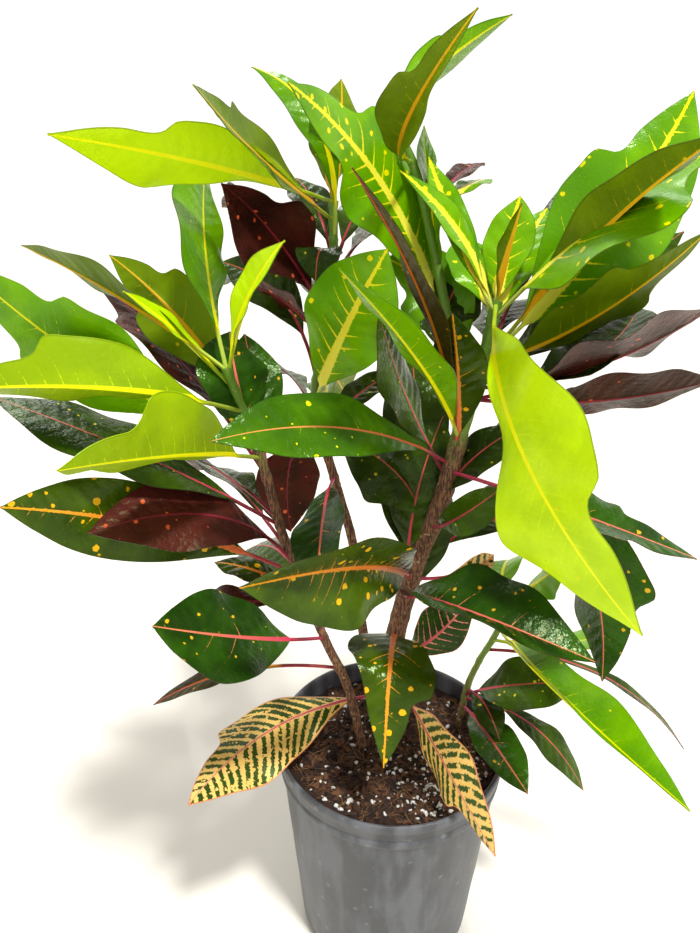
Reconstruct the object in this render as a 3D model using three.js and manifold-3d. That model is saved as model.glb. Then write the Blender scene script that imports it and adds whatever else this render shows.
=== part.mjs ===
// Potted croton: a nursery pot filled with soil, and a bushy plant of four leafy branches on a
// trunk and a cane, with a young shoot at the right and a low striped shoot at the front.
// Millimetres, +Z up. The origin is the middle of the pot's underside, and -Y is the front.
import * as THREE from "three";
import { mergeVertices } from "three/addons/utils/BufferGeometryUtils.js";
import Module from "manifold-3d";

const wasm = await Module();
wasm.setup();

// Pot
const POT_HEIGHT = 172;
const POT_RIM_RADIUS = 82.5;
const POT_BASE_RADIUS = 65.5;
const POT_BAND_BOTTOM = 151;
const POT_BAND_RADIUS = 80.6;
const POT_SHOULDER_RADIUS = 78.9;
const POT_WALL = 1.8;
const POT_FLOOR = 2.6;
const POT_CORNER = 4;
const POT_CORNER_CUT = 1;
const POT_CORNER_RISE = 1.4;
const POT_INNER_CORNER = 2;
const POT_STEP = 1;
const POT_INNER_STEP = 3;
const POT_LIP_BOTTOM = 165;
const POT_BAND_DRAFT = 0.3;
const POT_SIDES = 32;
const DRAIN_HOLES = 6;
const DRAIN_RADIUS = 6;
const DRAIN_SIDES = 12;
const DRAIN_CIRCLE_RADIUS = 46;

// Outside of the rim band with its ridges: how far each point stands out from the band's radius,
// and its height.
const POT_BAND_PROFILE = [
  [0, POT_BAND_BOTTOM + POT_STEP], [0.2, 156], [-0.4, 157], [-0.4, 158.2], [0.4, 159.2], [0.5, 164.6],
];

// Rolled lip, over its top and down inside: how far each point stands out from the rim's radius,
// and its height.
const POT_LIP_PROFILE = [
  [-0.4, 165.8], [0, 168], [-0.3, 171], [-1.6, POT_HEIGHT], [-3.2, 171],
];

// Soil
const SOIL_GAP = 0.3;
const SOIL_MIDDLE_HEIGHT = 160;
const SOIL_FALL_TO_BACK = 0.07;
const SOIL_BUMP = 1.3;
const SOIL_BAND_INSET = 0.6;
const SOIL_STEP_DROP = 4;
const SOIL_FOOT_INSET = 1;
const SOIL_HOLE_HEIGHT = 40;
const SOIL_RINGS = 6;
const SOIL_SIDES = POT_SIDES;

// Stems
const STEM_SIDES = 6;
const STEM_STEP = 22;
const STEM_FOOT = 146;
const NODE_GAP = 0.35;
const HOLE_GAP = 0.4;
const CURVE_HALVINGS = 40;
const WELD_DISTANCE = 1e-4;

// Leaves
const PETIOLE_HALF = 1.2;
const PETIOLE_THICK = 2.2;
const BLADE_THICK = 1;
const TIP_HALF = 0.45;
const EDGE_CURL = 0.12;
const WAVE_DEPTH = 0.045;
const WAVE_COUNT = 2.6;
const WAVE_REACH = 1.05;
const WAVE_SHIFT_PER_LEAF = 1.7;
const WAVE_SHIFT_ACROSS = 2.1;
const FOLD_EASING = 0.35;
const BLADE_START = 0.1;

// Share of the half width along the blade, from its foot (0) to its tip (1).
const OUTLINES = {
  oak: [
    [0, 0], [0.08, 0.22], [0.25, 0.68], [0.45, 0.98], [0.58, 0.97], [0.655, 0.88],
    [0.68, 0.62], [0.72, 0.5], [0.8, 0.44], [0.9, 0.26], [1, 0],
  ],
  plain: [
    [0, 0], [0.08, 0.2], [0.25, 0.62], [0.45, 0.95], [0.6, 1], [0.75, 0.84],
    [0.88, 0.48], [0.95, 0.22], [1, 0],
  ],
  late: [
    [0, 0], [0.15, 0.12], [0.35, 0.3], [0.52, 0.62], [0.64, 0.98], [0.7, 0.93], [0.8, 0.62],
    [0.9, 0.32], [1, 0],
  ],
  early: [
    [0, 0], [0.06, 0.45], [0.16, 0.9], [0.27, 1], [0.4, 0.82], [0.55, 0.6], [0.75, 0.4],
    [0.9, 0.18], [1, 0],
  ],
  slim: [
    [0, 0], [0.1, 0.25], [0.3, 0.72], [0.5, 1], [0.65, 0.93], [0.8, 0.62], [0.92, 0.25], [1, 0],
  ],
};

// Places along the blade where it has a ring of points.
const STATIONS = {
  lobed: [0, 0.12, 0.28, 0.46, 0.64, 0.69, 0.79, 0.9, 1],
  plain: [0, 0.14, 0.32, 0.5, 0.67, 0.84, 1],
};

// Each stem runs through these points and tapers from one radius to the other.
const STEMS = {
  cane: {
    path: [
      [-16, -3, 140], [-30, -5, 211], [-46, -14, 261], [-69, -25, 340],
      [-79, -34, 394], [-94, -45, 453],
    ],
    from: 3.3,
    to: 2.6,
  },
  trunk: {
    path: [
      [-9, 31, 140], [-5, 18, 200], [1, 10, 250], [12, 5, 310], [21, 0, 342],
      [29, -5, 376], [34, -8, 408],
    ],
    from: 7.5,
    to: 5.2,
  },
  left: {
    path: [
      [-14, 48, 140], [-16, 44, 173], [-25, 45, 236], [-32, 45, 300], [-45, 42, 352],
      [-58, 38, 411], [-47, 40, 469], [-46, 40, 533],
    ],
    from: 4,
    to: 2.6,
  },
  mid: {
    path: [
      [33, -7, 398], [32, 2, 431], [25, 14, 464], [14, 22, 508], [3, 28, 545], [-7, 30, 567],
    ],
    from: 3.6,
    to: 2.4,
  },
  right: {
    path: [[33, -8, 398], [40, -13, 435], [45, -12, 464], [48, -10, 485]],
    from: 3.6,
    to: 3,
  },
  sapling: {
    path: [[50, 26, 140], [56, 28, 191], [63, 26, 220], [73, 22, 250], [75, 18, 278]],
    from: 2.6,
    to: 2,
  },
  striped: {
    path: [[10, 12, 140], [9, 9, 180], [9, 7, 205]],
    from: 2.6,
    to: 2,
  },
};

// A leaf: height of its root on the stem, tip, blade width, rise of the midrib above the straight
// line, sideways bend, turn about the midrib in degrees, share of the length that is petiole,
// fold of the halves in degrees, and the outlines of the left and the right half. A fold above
// zero lifts both halves into a trough, and one below zero lets them droop like a roof.
const LEAVES = {
  cane_lime: [
    [452, [-111, 2, 552], 50, 13, -6, 58, 0.16, 4, "slim", "slim"],
    [449, [-55, -80, 520], 22, 7, 0, 75, 0.12, 40, "slim", "slim"],
    [440, [-132, -77, 496], 15, 3, 8, -36, 0.2, 34, "slim", "slim"],
    [451, [-199, -38, 512], 33, 8, -11, 38, 0.15, 23, "slim", "oak"],
    [425, [-165, -10, 505], 42, 4, 6, 110, 0.2, 10, "oak", "oak"],
    [408, [-208, -79, 509], 59, -8, -9, -120, 0.22, 6, "oak", "oak"],
    [427, [-213, -99, 452], 47, 13, -24, -109, 0.18, -47, "plain", "oak"],
    [398, [-133, -159, 440], 58, 4, -3, -130, 0.18, -29, "plain", "oak"],
    [404, [-98, -18, 466], 44, 10, -8, 6, 0.15, 5, "plain", "plain"],
  ],
  cane_dark: [
    [386, [-188, 12, 492], 46, 8, 0, 10, 0.25, 10, "oak", "oak"],
    [384, [-95, 5, 460], 34, 6, 0, 0, 0.2, 12, "plain", "plain"],
    [355, [-150, -20, 400], 34, 8, 0, 30, 0.25, 10, "plain", "plain"],
    [351, [-210, -70, 440], 48, 8, -10, -15, 0.2, 10, "plain", "plain"],
    [322, [-155, -100, 380], 44, 22, -3, -35, 0.2, 5, "plain", "plain"],
    [314, [-195, -105, 395], 44, 6, 8, -70, 0.2, 6, "plain", "plain"],
    [293, [-120, -5, 310], 26, 6, 0, 0, 0.25, 10, "plain", "plain"],
    [277, [-145, -30, 255], 40, 26, 0, -10, 0.25, 12, "plain", "plain"],
    [262, [-125, -105, 330], 54, 0, -8, -45, 0.28, 12, "plain", "plain"],
    [233, [-165, -25, 205], 20, 14, 0, 0, 0.3, 15, "plain", "plain"],
    [330, [-150, 65, 345], 46, 22, -6, 25, 0.2, 24, "plain", "plain"],
    [285, [-130, 80, 262], 44, 24, 8, -20, 0.2, -12, "oak", "plain"],
  ],
  left_top: [
    [531, [-55, 20, 580], 20, 2, 0, 0, 0.12, 20, "slim", "slim"],
    [532, [-45, 75, 600], 30, 3, 2, 45, 0.15, 14, "slim", "slim"],
    [511, [-95, 56, 604], 21, 27, -14, -38, 0.15, -5, "slim", "slim"],
    [522, [-87, -95, 579], 35, 2, 8, 123, 0.12, -12, "oak", "oak"],
    [532, [-146, -101, 561], 40, 3, -4, -130, 0.16, 10, "late", "oak"],
  ],
  left_dark: [
    [495, [-75, 85, 545], 30, 8, 0, 0, 0.2, 10, "plain", "plain"],
    [492, [-20, 80, 545], 30, 6, 0, 0, 0.25, 12, "plain", "plain"],
    [498, [-54, 18, 489], 30, 14, 0, 0, 0.12, 12, "plain", "plain"],
    [460, [-105, 10, 542], 61, 11, 25, 80, 0.18, -42, "oak", "plain"],
    [447, [-100, 40, 485], 30, 6, 0, 30, 0.2, 12, "plain", "plain"],
    [424, [-126, 81, 492], 35, 17, 3, -44, 0.25, 25, "plain", "plain"],
    [492, [-135, 125, 525], 42, 16, -8, 30, 0.15, 22, "oak", "plain"],
    [488, [-10, 165, 508], 44, 22, 8, -25, 0.15, 6, "plain", "oak"],
    [465, [-150, 130, 462], 46, 24, 6, -30, 0.2, 26, "plain", "plain"],
    [450, [-55, 190, 440], 48, 30, -8, 20, 0.2, -8, "oak", "oak"],
  ],
  left_green: [
    [409, [-12, 0, 510], 58, 0, 4, 110, 0.12, 14, "plain", "plain"],
    [396, [-81, 65, 298], 49, 18, 0, 18, 0.2, 6, "plain", "plain"],
    [354, [-45, -60, 320], 40, 16, 1, 33, 0.18, 24, "plain", "plain"],
    [389, [-5, 10, 440], 22, 3, 0, -40, 0.2, 15, "plain", "plain"],
    [385, [-140, 150, 392], 48, 26, 8, 35, 0.2, 18, "oak", "plain"],
    [375, [-50, 190, 366], 48, 32, -6, -30, 0.2, 24, "plain", "plain"],
  ],
  mid_green: [
    [554, [24, -58, 611], 35, -15, 18, 119, 0.12, 54, "oak", "oak"],
    [565, [52, 66, 631], 31, 2, -28, 97, 0.12, -55, "oak", "slim"],
    [526, [45, 95, 555], 20, 6, 0, 0, 0.3, 20, "slim", "slim"],
    [518, [50, 90, 545], 20, 8, 0, 0, 0.35, 10, "slim", "slim"],
    [480, [5, 22, 572], 50, -2, 4, 30, 0.18, 6, "plain", "plain"],
    [455, [-59, -37, 586], 62, 25, 28, -67, 0.15, 7, "oak", "oak"],
    [433, [38, 32, 499], 39, 7, -12, 16, 0.25, 0, "plain", "plain"],
    [433, [-14, 32, 502], 47, 12, 9, -48, 0.18, 20, "oak", "plain"],
  ],
  trunk_dark: [
    [399, [-25, -89, 550], 25, 7, -7, -24, 0.12, 18, "plain", "oak"],
    [403, [-30, -90, 510], 35, 0, -11, -6, 0.15, 25, "slim", "slim"],
    [396, [22, -52, 485], 33, 0, -2, -10, 0.12, 30, "plain", "plain"],
    [386, [-90, -95, 430], 40, 14, 2, -45, 0.14, 20, "plain", "plain"],
    [376, [-15, -25, 480], 42, -2, 8, -45, 0.2, 4, "plain", "plain"],
    [330, [-38, 5, 396], 52, 15, -2, -25, 0.18, -11, "plain", "plain"],
    [293, [25, 20, 409], 43, 15, 6, 46, 0.25, -2, "plain", "plain"],
    [298, [-74, -120, 366], 68, 15, -15, -105, 0.14, 45, "plain", "plain"],
    [282, [105, -92, 314], 65, 24, 28, 0, 0.12, 44, "plain", "plain"],
    [238, [53, 5, 292], 34, 2, 28, 76, 0.25, -20, "plain", "plain"],
    [250, [-3, -83, 222], 57, 36, 0, 0, 0.13, 8, "oak", "early"],
    [342, [122, -59, 276], 68, 42, -21, 114, 0.35, -16, "oak", "plain"],
    [382, [147, -85, 374], 44, 16, 28, -2, 0.3, 22, "oak", "oak"],
    [370, [130, 120, 380], 48, 26, 8, -35, 0.18, 20, "plain", "plain"],
    [305, [4, 104, 436], 45, 18, 1, -14, 0.18, 4, "plain", "oak"],
    [300, [110, 115, 285], 46, 30, 6, 30, 0.18, 24, "plain", "plain"],
    [266, [-20, 31, 387], 48, 22, 13, -33, 0.18, 24, "plain", "plain"],
    [351, [71, -5, 413], 27, 10, 7, 40, 0.2, 12, "plain", "plain"],
    [341, [59, -30, 385], 26, -3, 13, -73, 0.25, -35, "plain", "plain"],
    [299, [67, 36, 303], 19, 0, 11, 37, 0.3, 55, "plain", "slim"],
  ],
  right_green: [
    [479, [8, 6, 556], 20, 4, -18, -42, 0.12, 40, "slim", "slim"],
    [477, [-6, -46, 549], 18, 7, -2, -65, 0.1, 25, "slim", "slim"],
    [484, [55, -20, 535], 14, 0, 0, 10, 0.08, 50, "slim", "slim"],
    [474, [30, 30, 515], 34, 2, 0, 0, 0.14, 10, "plain", "plain"],
    [476, [60, 24, 537], 28, 3, 0, 0, 0.12, 12, "plain", "plain"],
    [466, [80, 50, 530], 32, 6, 0, 0, 0.15, 10, "plain", "plain"],
    [452, [137, 5, 587], 63, -4, 13, 83, 0.16, 0, "oak", "plain"],
    [474, [140, -38, 564], 81, 6, 28, 13, 0.2, 0, "plain", "oak"],
    [450, [135, -50, 525], 48, -8, 7, -32, 0.14, 20, "oak", "oak"],
    [484, [105, -143, 368], 84, 11, 28, 85, 0.1, 11, "oak", "late"],
    [449, [106, -125, 562], 34, 16, -15, -14, 0.2, 55, "slim", "slim"],
  ],
  right_dark: [
    [437, [100, 75, 550], 26, 6, 0, -20, 0.3, 15, "slim", "slim"],
    [438, [150, 20, 520], 42, -2, -8, 24, 0.14, 6, "plain", "plain"],
    [430, [132, 19, 478], 54, 1, 28, 1, 0.18, 25, "plain", "plain"],
    [430, [170, -10, 445], 42, -4, 8, -48, 0.18, 20, "plain", "plain"],
    [440, [110, 130, 498], 46, 20, -8, -30, 0.18, 22, "oak", "plain"],
    [434, [140, 100, 430], 46, 26, 8, 30, 0.18, 26, "plain", "plain"],
    [438, [60, 165, 440], 48, 28, 8, -20, 0.18, -8, "plain", "oak"],
    [437, [147, -40, 488], 81, -7, 11, -21, 0.2, 16, "plain", "plain"],
  ],
  sapling_dark: [
    [231, [210, 5, 170], 12, 24, 0, 0, 0.2, 25, "slim", "slim"],
    [186, [127, -9, 234], 43, 11, 13, 29, 0.2, 19, "plain", "plain"],
    [191, [75, -20, 190], 22, 10, 0, 0, 0.2, 10, "plain", "plain"],
    [183, [135, -25, 155], 26, 20, 0, 0, 0.25, 8, "plain", "plain"],
    [177, [90, -55, 180], 34, 9, 4, 5, 0.15, 30, "plain", "plain"],
    [220, [105, 115, 222], 36, 22, 6, 25, 0.2, 20, "plain", "plain"],
  ],
  sapling_green: [
    [272, [102, -14, 326], 29, 1, -3, 54, 0.35, -14, "plain", "plain"],
    [241, [150, -15, 280], 34, 3, 14, -5, 0.12, 12, "plain", "plain"],
    [253, [138, -152, 280], 41, 12, 16, -11, 0.14, 54, "plain", "oak"],
    [262, [95, 90, 266], 34, 18, -6, -25, 0.15, 18, "plain", "oak"],
  ],
  striped_leaves: [
    [203, [-123, -88, 185], 56, -4, 29, -9, 0.2, -8, "plain", "oak"],
    [204, [64, -104, 182], 43, 13, 6, 78, 0.14, 1, "plain", "oak"],
  ],
};

// A node: the stretches of stem it holds, each with its lowest and highest point, and a colour.
const NODES = {
  cane_dark: { stems: [["cane", STEM_FOOT, 397]], colour: 0x2c4a1c, roughness: 0.35 },
  cane_lime: { stems: [["cane", 397, 453]], colour: 0xb4d400, roughness: 0.35 },
  left_stem: { stems: [["left", STEM_FOOT, 350]], colour: 0x70502f, roughness: 0.8 },
  left_green: { stems: [["left", 350, 420]], colour: 0x4f8a10, roughness: 0.35 },
  left_dark: { stems: [["left", 420, 508]], colour: 0x3a3024, roughness: 0.4 },
  left_top: { stems: [["left", 508, 533]], colour: 0x84b408, roughness: 0.35 },
  trunk_stem: { stems: [["trunk", STEM_FOOT, 236]], colour: 0x6a4428, roughness: 0.8 },
  trunk_dark: {
    stems: [["trunk", 236, 408], ["mid", 398, 428], ["right", 398, 428]],
    colour: 0x2a4a18,
    roughness: 0.35,
  },
  mid_green: { stems: [["mid", 428, 567]], colour: 0x6aa80c, roughness: 0.35 },
  right_dark: { stems: [["right", 428, 447]], colour: 0x2f5420, roughness: 0.35 },
  right_green: { stems: [["right", 447, 485]], colour: 0x74b00c, roughness: 0.35 },
  sapling_dark: { stems: [["sapling", STEM_FOOT, 234]], colour: 0x34502a, roughness: 0.35 },
  sapling_green: { stems: [["sapling", 234, 278]], colour: 0x78b418, roughness: 0.35 },
  striped_leaves: { stems: [["striped", STEM_FOOT, 205]], colour: 0xe8c47c, roughness: 0.4 },
};

const UP = new THREE.Vector3(0, 0, 1);

// Point on a cubic through the control points, with the slope there taken from their neighbours.
function outlineAt(points, place) {
  let i = 0;
  while (i < points.length - 2 && place > points[i + 1][0]) i += 1;
  const [x0, y0] = points[i];
  const [x1, y1] = points[i + 1];
  const before = points[Math.max(0, i - 1)];
  const after = points[Math.min(points.length - 1, i + 2)];
  const slope0 = (y1 - before[1]) / (x1 - before[0]);
  const slope1 = (after[1] - y0) / (after[0] - x0);
  const span = x1 - x0;
  const t = (place - x0) / span;
  const t2 = t * t;
  const t3 = t2 * t;
  const height =
    (2 * t3 - 3 * t2 + 1) * y0 +
    (t3 - 2 * t2 + t) * span * slope0 +
    (3 * t2 - 2 * t3) * y1 +
    (t3 - t2) * span * slope1;
  return Math.max(0, height);
}

// Closed skin over rings of points. Quads of the second half of a ring are split the other way, so
// that both faces of a blade bend along the same lines.
function skin(rings, mirrored) {
  const size = rings[0].length;
  const positions = rings.flat().flatMap((p) => [p.x, p.y, p.z]);
  const index = [];
  for (let i = 0; i < rings.length - 1; i += 1) {
    for (let k = 0; k < size; k += 1) {
      const a = i * size + k;
      const b = i * size + ((k + 1) % size);
      const c = b + size;
      const d = a + size;
      if (mirrored && k >= size / 2) index.push(a, b, d, b, c, d);
      else index.push(a, b, c, a, c, d);
    }
  }
  const last = (rings.length - 1) * size;
  for (let k = 1; k < size - 1; k += 1) {
    index.push(0, k + 1, k);
    index.push(last, last + k, last + k + 1);
  }
  const geometry = new THREE.BufferGeometry();
  geometry.setAttribute("position", new THREE.Float32BufferAttribute(positions, 3));
  geometry.setIndex(index);
  return geometry;
}

function solid(geometry) {
  const plain = geometry.clone();
  plain.deleteAttribute("normal");
  plain.deleteAttribute("uv");
  const merged = mergeVertices(plain, WELD_DISTANCE);
  return new wasm.Manifold(
    new wasm.Mesh({
      numProp: 3,
      vertProperties: merged.attributes.position.array,
      triVerts: new Uint32Array(merged.index.array),
    }),
  );
}

function stemCurve(name) {
  const points = STEMS[name].path.map((p) => new THREE.Vector3(...p));
  return new THREE.CatmullRomCurve3(points, false, "catmullrom", 0.5);
}

function placeAtHeight(curve, height) {
  let low = 0;
  let high = 1;
  for (let i = 0; i < CURVE_HALVINGS; i += 1) {
    const middle = (low + high) / 2;
    if (curve.getPoint(middle).z < height) low = middle;
    else high = middle;
  }
  return (low + high) / 2;
}

// Stretch of a stem between two heights, thicker all round by grow.
function stemSolid(name, bottom, top, grow = 0) {
  const curve = stemCurve(name);
  const { from, to } = STEMS[name];
  const start = placeAtHeight(curve, bottom);
  const end = placeAtHeight(curve, top);
  const steps = Math.max(1, Math.round((top - bottom) / STEM_STEP));
  const rings = [];
  for (let i = 0; i <= steps; i += 1) {
    const t = start + ((end - start) * i) / steps;
    const centre = curve.getPoint(t);
    const along = curve.getTangent(t);
    const side = new THREE.Vector3(0, 1, 0).cross(along).normalize();
    const front = along.clone().cross(side);
    const radius = from + (to - from) * t + grow;
    const ring = [];
    for (let k = 0; k < STEM_SIDES; k += 1) {
      const angle = (2 * Math.PI * k) / STEM_SIDES;
      ring.push(
        centre
          .clone()
          .addScaledVector(side, radius * Math.cos(angle))
          .addScaledVector(front, radius * Math.sin(angle)),
      );
    }
    rings.push(ring);
  }
  return solid(skin(rings, false));
}

// Leaf whose root is sunk in the stem. Its midrib is a curve from the root to the tip.
function leafSolid(stem, row, number) {
  const [height, tipPoint, width, rise, bend, turn, petiole, fold, left, right] = row;
  const curve = stemCurve(stem);
  const root = curve.getPoint(placeAtHeight(curve, height));
  const tip = new THREE.Vector3(...tipPoint);
  const chord = tip.clone().sub(root);
  const level = new THREE.Vector3(chord.x, chord.y, 0).normalize();
  const across = level.clone().cross(UP);
  const over = across.clone().cross(chord.clone().normalize());
  const control = root
    .clone()
    .add(tip)
    .multiplyScalar(0.5)
    .addScaledVector(over, 2 * rise)
    .addScaledVector(across, 2 * bend);
  const midrib = new THREE.QuadraticBezierCurve3(root, control, tip);
  const turnAngle = THREE.MathUtils.degToRad(turn);
  const foldAngle = THREE.MathUtils.degToRad(fold);

  const ringAt = (t) => {
    const u = Math.max(0, (t - petiole) / (1 - petiole));
    const centre = midrib.getPoint(t);
    const along = midrib.getTangent(t);
    const flat = across.clone().addScaledVector(along, -across.dot(along)).normalize();
    const face = flat.clone().cross(along);
    const angle = turnAngle * Math.min(1, t / petiole);
    const side = flat.clone().multiplyScalar(Math.cos(angle)).addScaledVector(face, -Math.sin(angle));
    const normal = face.clone().multiplyScalar(Math.cos(angle)).addScaledVector(flat, Math.sin(angle));
    const halfThick = THREE.MathUtils.lerp(PETIOLE_THICK, BLADE_THICK, Math.min(1, u / BLADE_START)) / 2;
    const least = u < 0.5 ? PETIOLE_HALF : TIP_HALF;
    const bladeFold = foldAngle * (1 - FOLD_EASING * u);
    const edge = (v, outline) => {
      const half = (outlineAt(OUTLINES[outline], u) * width) / 2;
      const phase = WAVE_SHIFT_PER_LEAF * number + (v < 0 ? 0 : WAVE_SHIFT_ACROSS);
      const wave =
        width *
        WAVE_DEPTH *
        Math.sin(2 * Math.PI * WAVE_COUNT * u + phase) *
        Math.sin(Math.PI * Math.min(1, WAVE_REACH * u));
      const out = Math.max(least, half * Math.cos(bladeFold));
      const lift = half * Math.sin(bladeFold) - EDGE_CURL * half + wave;
      return centre.clone().addScaledVector(side, v * out).addScaledVector(normal, lift);
    };
    const leftEdge = edge(-1, left);
    const rightEdge = edge(1, right);
    const raise = (point, amount) => point.clone().addScaledVector(normal, amount);
    return [
      raise(leftEdge, halfThick),
      raise(centre, halfThick),
      raise(rightEdge, halfThick),
      raise(rightEdge, -halfThick),
      raise(centre, -halfThick),
      raise(leftEdge, -halfThick),
    ];
  };

  const lobed = [left, right].some((outline) => outline === "oak" || outline === "late");
  const blade = STATIONS[lobed ? "lobed" : "plain"].map((u) => petiole + (1 - petiole) * u);
  const rings = [0, ...blade].map(ringAt);
  return solid(skin(rings, true));
}

function leafyNode(name) {
  const { stems } = NODES[name];
  const parts = stems.map(([stem, bottom, top]) => {
    const foot = bottom === STEM_FOOT || stems.length > 1 ? bottom : bottom + NODE_GAP;
    return stemSolid(stem, foot, top);
  });
  const leaves = LEAVES[name] || [];
  leaves.forEach((row, number) => parts.push(leafSolid(stems[0][0], row, number)));
  return wasm.Manifold.union(parts);
}

function potWallRadius(height) {
  const share = height / POT_BAND_BOTTOM;
  return POT_BASE_RADIUS + (POT_SHOULDER_RADIUS - POT_BASE_RADIUS) * share;
}

// Pot: tapered wall, corner at the base, a wider band with two ridges, and a rolled lip.
function potSolid() {
  const inside = POT_BAND_RADIUS - POT_WALL;
  const stepTop = POT_BAND_BOTTOM - POT_INNER_STEP;
  const profile = [
    [0, 0],
    [POT_BASE_RADIUS - POT_CORNER, 0],
    [POT_BASE_RADIUS - POT_CORNER_CUT, POT_CORNER_RISE],
    [potWallRadius(POT_CORNER), POT_CORNER],
    [potWallRadius(POT_BAND_BOTTOM - POT_STEP), POT_BAND_BOTTOM - POT_STEP],
    ...POT_BAND_PROFILE.map(([out, height]) => [POT_BAND_RADIUS + out, height]),
    ...POT_LIP_PROFILE.map(([out, height]) => [POT_RIM_RADIUS + out, height]),
    [inside, POT_LIP_BOTTOM],
    [inside - POT_BAND_DRAFT, POT_BAND_BOTTOM + POT_STEP],
    [potWallRadius(stepTop) - POT_WALL, stepTop],
    [POT_BASE_RADIUS - POT_WALL - POT_BAND_DRAFT, POT_FLOOR + POT_INNER_CORNER],
    [POT_BASE_RADIUS - POT_CORNER, POT_FLOOR],
    [0, POT_FLOOR],
  ];
  const points = profile.map(([radius, height]) => new THREE.Vector2(radius, height));
  const turned = new THREE.LatheGeometry(points, POT_SIDES);
  turned.rotateX(Math.PI / 2);
  let pot = solid(turned);
  for (let i = 0; i < DRAIN_HOLES; i += 1) {
    const angle = (2 * Math.PI * (i + 0.5)) / DRAIN_HOLES;
    const depth = 4 * POT_FLOOR;
    const hole = new THREE.CylinderGeometry(DRAIN_RADIUS, DRAIN_RADIUS, depth, DRAIN_SIDES);
    hole.rotateX(Math.PI / 2);
    hole.translate(DRAIN_CIRCLE_RADIUS * Math.cos(angle), DRAIN_CIRCLE_RADIUS * Math.sin(angle), 0);
    pot = pot.subtract(solid(hole));
  }
  return pot;
}

// Height of the soil's surface: it falls to the back, and three crossing ripples make it uneven.
function soilHeight(x, y) {
  const ripples =
    Math.sin(0.13 * x + 1) * Math.cos(0.11 * y) + 0.7 * Math.sin(0.31 * x - 0.23 * y) +
    0.6 * Math.cos(0.19 * x + 0.37 * y);
  return SOIL_MIDDLE_HEIGHT - SOIL_FALL_TO_BACK * y + SOIL_BUMP * ripples;
}

// Soil: fills the pot, with an uneven surface and a plain hole for each stem.
function soilSolid() {
  const stepBottom = POT_BAND_BOTTOM - SOIL_STEP_DROP;
  const bandInside = POT_BAND_RADIUS - POT_WALL - SOIL_BAND_INSET - SOIL_GAP;
  const wallInside = potWallRadius(stepBottom) - POT_WALL - SOIL_GAP;
  const footInside = POT_BASE_RADIUS - POT_WALL - SOIL_FOOT_INSET - SOIL_GAP;
  const angles = [];
  for (let k = 0; k < SOIL_SIDES; k += 1) angles.push((2 * Math.PI * k) / SOIL_SIDES);
  const circle = (radius, height) =>
    angles.map((a) => {
      const x = radius * Math.cos(a);
      const y = radius * Math.sin(a);
      return new THREE.Vector3(x, y, height === null ? soilHeight(x, y) : height);
    });
  const rings = [
    circle(POT_BASE_RADIUS - POT_CORNER - SOIL_FOOT_INSET, POT_FLOOR + SOIL_GAP),
    circle(footInside, POT_FLOOR + POT_INNER_CORNER + SOIL_GAP),
    circle(wallInside, stepBottom),
  ];
  for (let i = SOIL_RINGS; i >= 1; i -= 1) rings.push(circle((bandInside * i) / SOIL_RINGS, null));
  let soil = solid(skin(rings, false));
  for (const { stems } of Object.values(NODES)) {
    for (const [stem, bottom] of stems) {
      if (bottom === STEM_FOOT) {
        const top = STEM_FOOT + SOIL_HOLE_HEIGHT;
        const hole = stemSolid(stem, STEM_FOOT - HOLE_GAP, top, HOLE_GAP);
        soil = soil.subtract(hole);
      }
    }
  }
  return soil;
}

function meshOf(name, made, colour, roughness) {
  const data = made.getMesh();
  const count = data.numProp;
  const positions = [];
  for (let i = 0; i < data.numVert; i += 1) {
    positions.push(...data.vertProperties.slice(i * count, i * count + 3));
  }
  const geometry = new THREE.BufferGeometry();
  geometry.setAttribute("position", new THREE.Float32BufferAttribute(positions, 3));
  geometry.setIndex(new THREE.BufferAttribute(new Uint32Array(data.triVerts), 1));
  geometry.computeVertexNormals();
  const material = new THREE.MeshStandardMaterial({ color: colour, roughness, metalness: 0 });
  const mesh = new THREE.Mesh(geometry, material);
  mesh.name = name;
  return mesh;
}

const croton = new THREE.Group();
croton.name = "potted_croton";
croton.add(meshOf("pot", potSolid(), 0x4c4e52, 0.5));
croton.add(meshOf("soil", soilSolid(), 0x2e1e16, 0.95));
for (const [name, { colour, roughness }] of Object.entries(NODES)) {
  croton.add(meshOf(name, leafyNode(name), colour, roughness));
}

export default croton;
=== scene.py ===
"""Potted croton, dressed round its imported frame.

A bushy croton in a black nursery pot: lobed leaves in lime, bright green, dark green with pink
midribs, and cream with green stripes, on woody stems in peat with perlite. Tables and sizes are in
millimetres, as on a drawing, and each mesh is in metres. +Z is up and -Y is the front.
"""

import logging
import math
from dataclasses import dataclass, field
from enum import Enum
from functools import cache

import bmesh
import bpy
import numpy as np
from mathutils import Matrix, Vector, noise


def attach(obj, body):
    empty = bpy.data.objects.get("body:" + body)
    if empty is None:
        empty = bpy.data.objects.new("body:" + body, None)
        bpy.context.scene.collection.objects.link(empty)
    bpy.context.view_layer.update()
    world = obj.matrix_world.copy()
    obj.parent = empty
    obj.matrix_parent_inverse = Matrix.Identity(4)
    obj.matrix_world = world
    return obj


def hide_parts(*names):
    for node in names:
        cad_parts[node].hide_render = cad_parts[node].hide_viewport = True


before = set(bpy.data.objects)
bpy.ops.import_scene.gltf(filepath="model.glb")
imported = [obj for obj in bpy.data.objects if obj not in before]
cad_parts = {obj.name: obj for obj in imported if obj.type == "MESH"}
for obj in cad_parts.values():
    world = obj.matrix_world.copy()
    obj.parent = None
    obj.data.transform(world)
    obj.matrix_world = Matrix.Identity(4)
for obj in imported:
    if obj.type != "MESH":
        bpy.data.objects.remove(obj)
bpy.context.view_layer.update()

LOG = logging.getLogger("croton")
MM = 0.001
BODY = "root"

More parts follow.
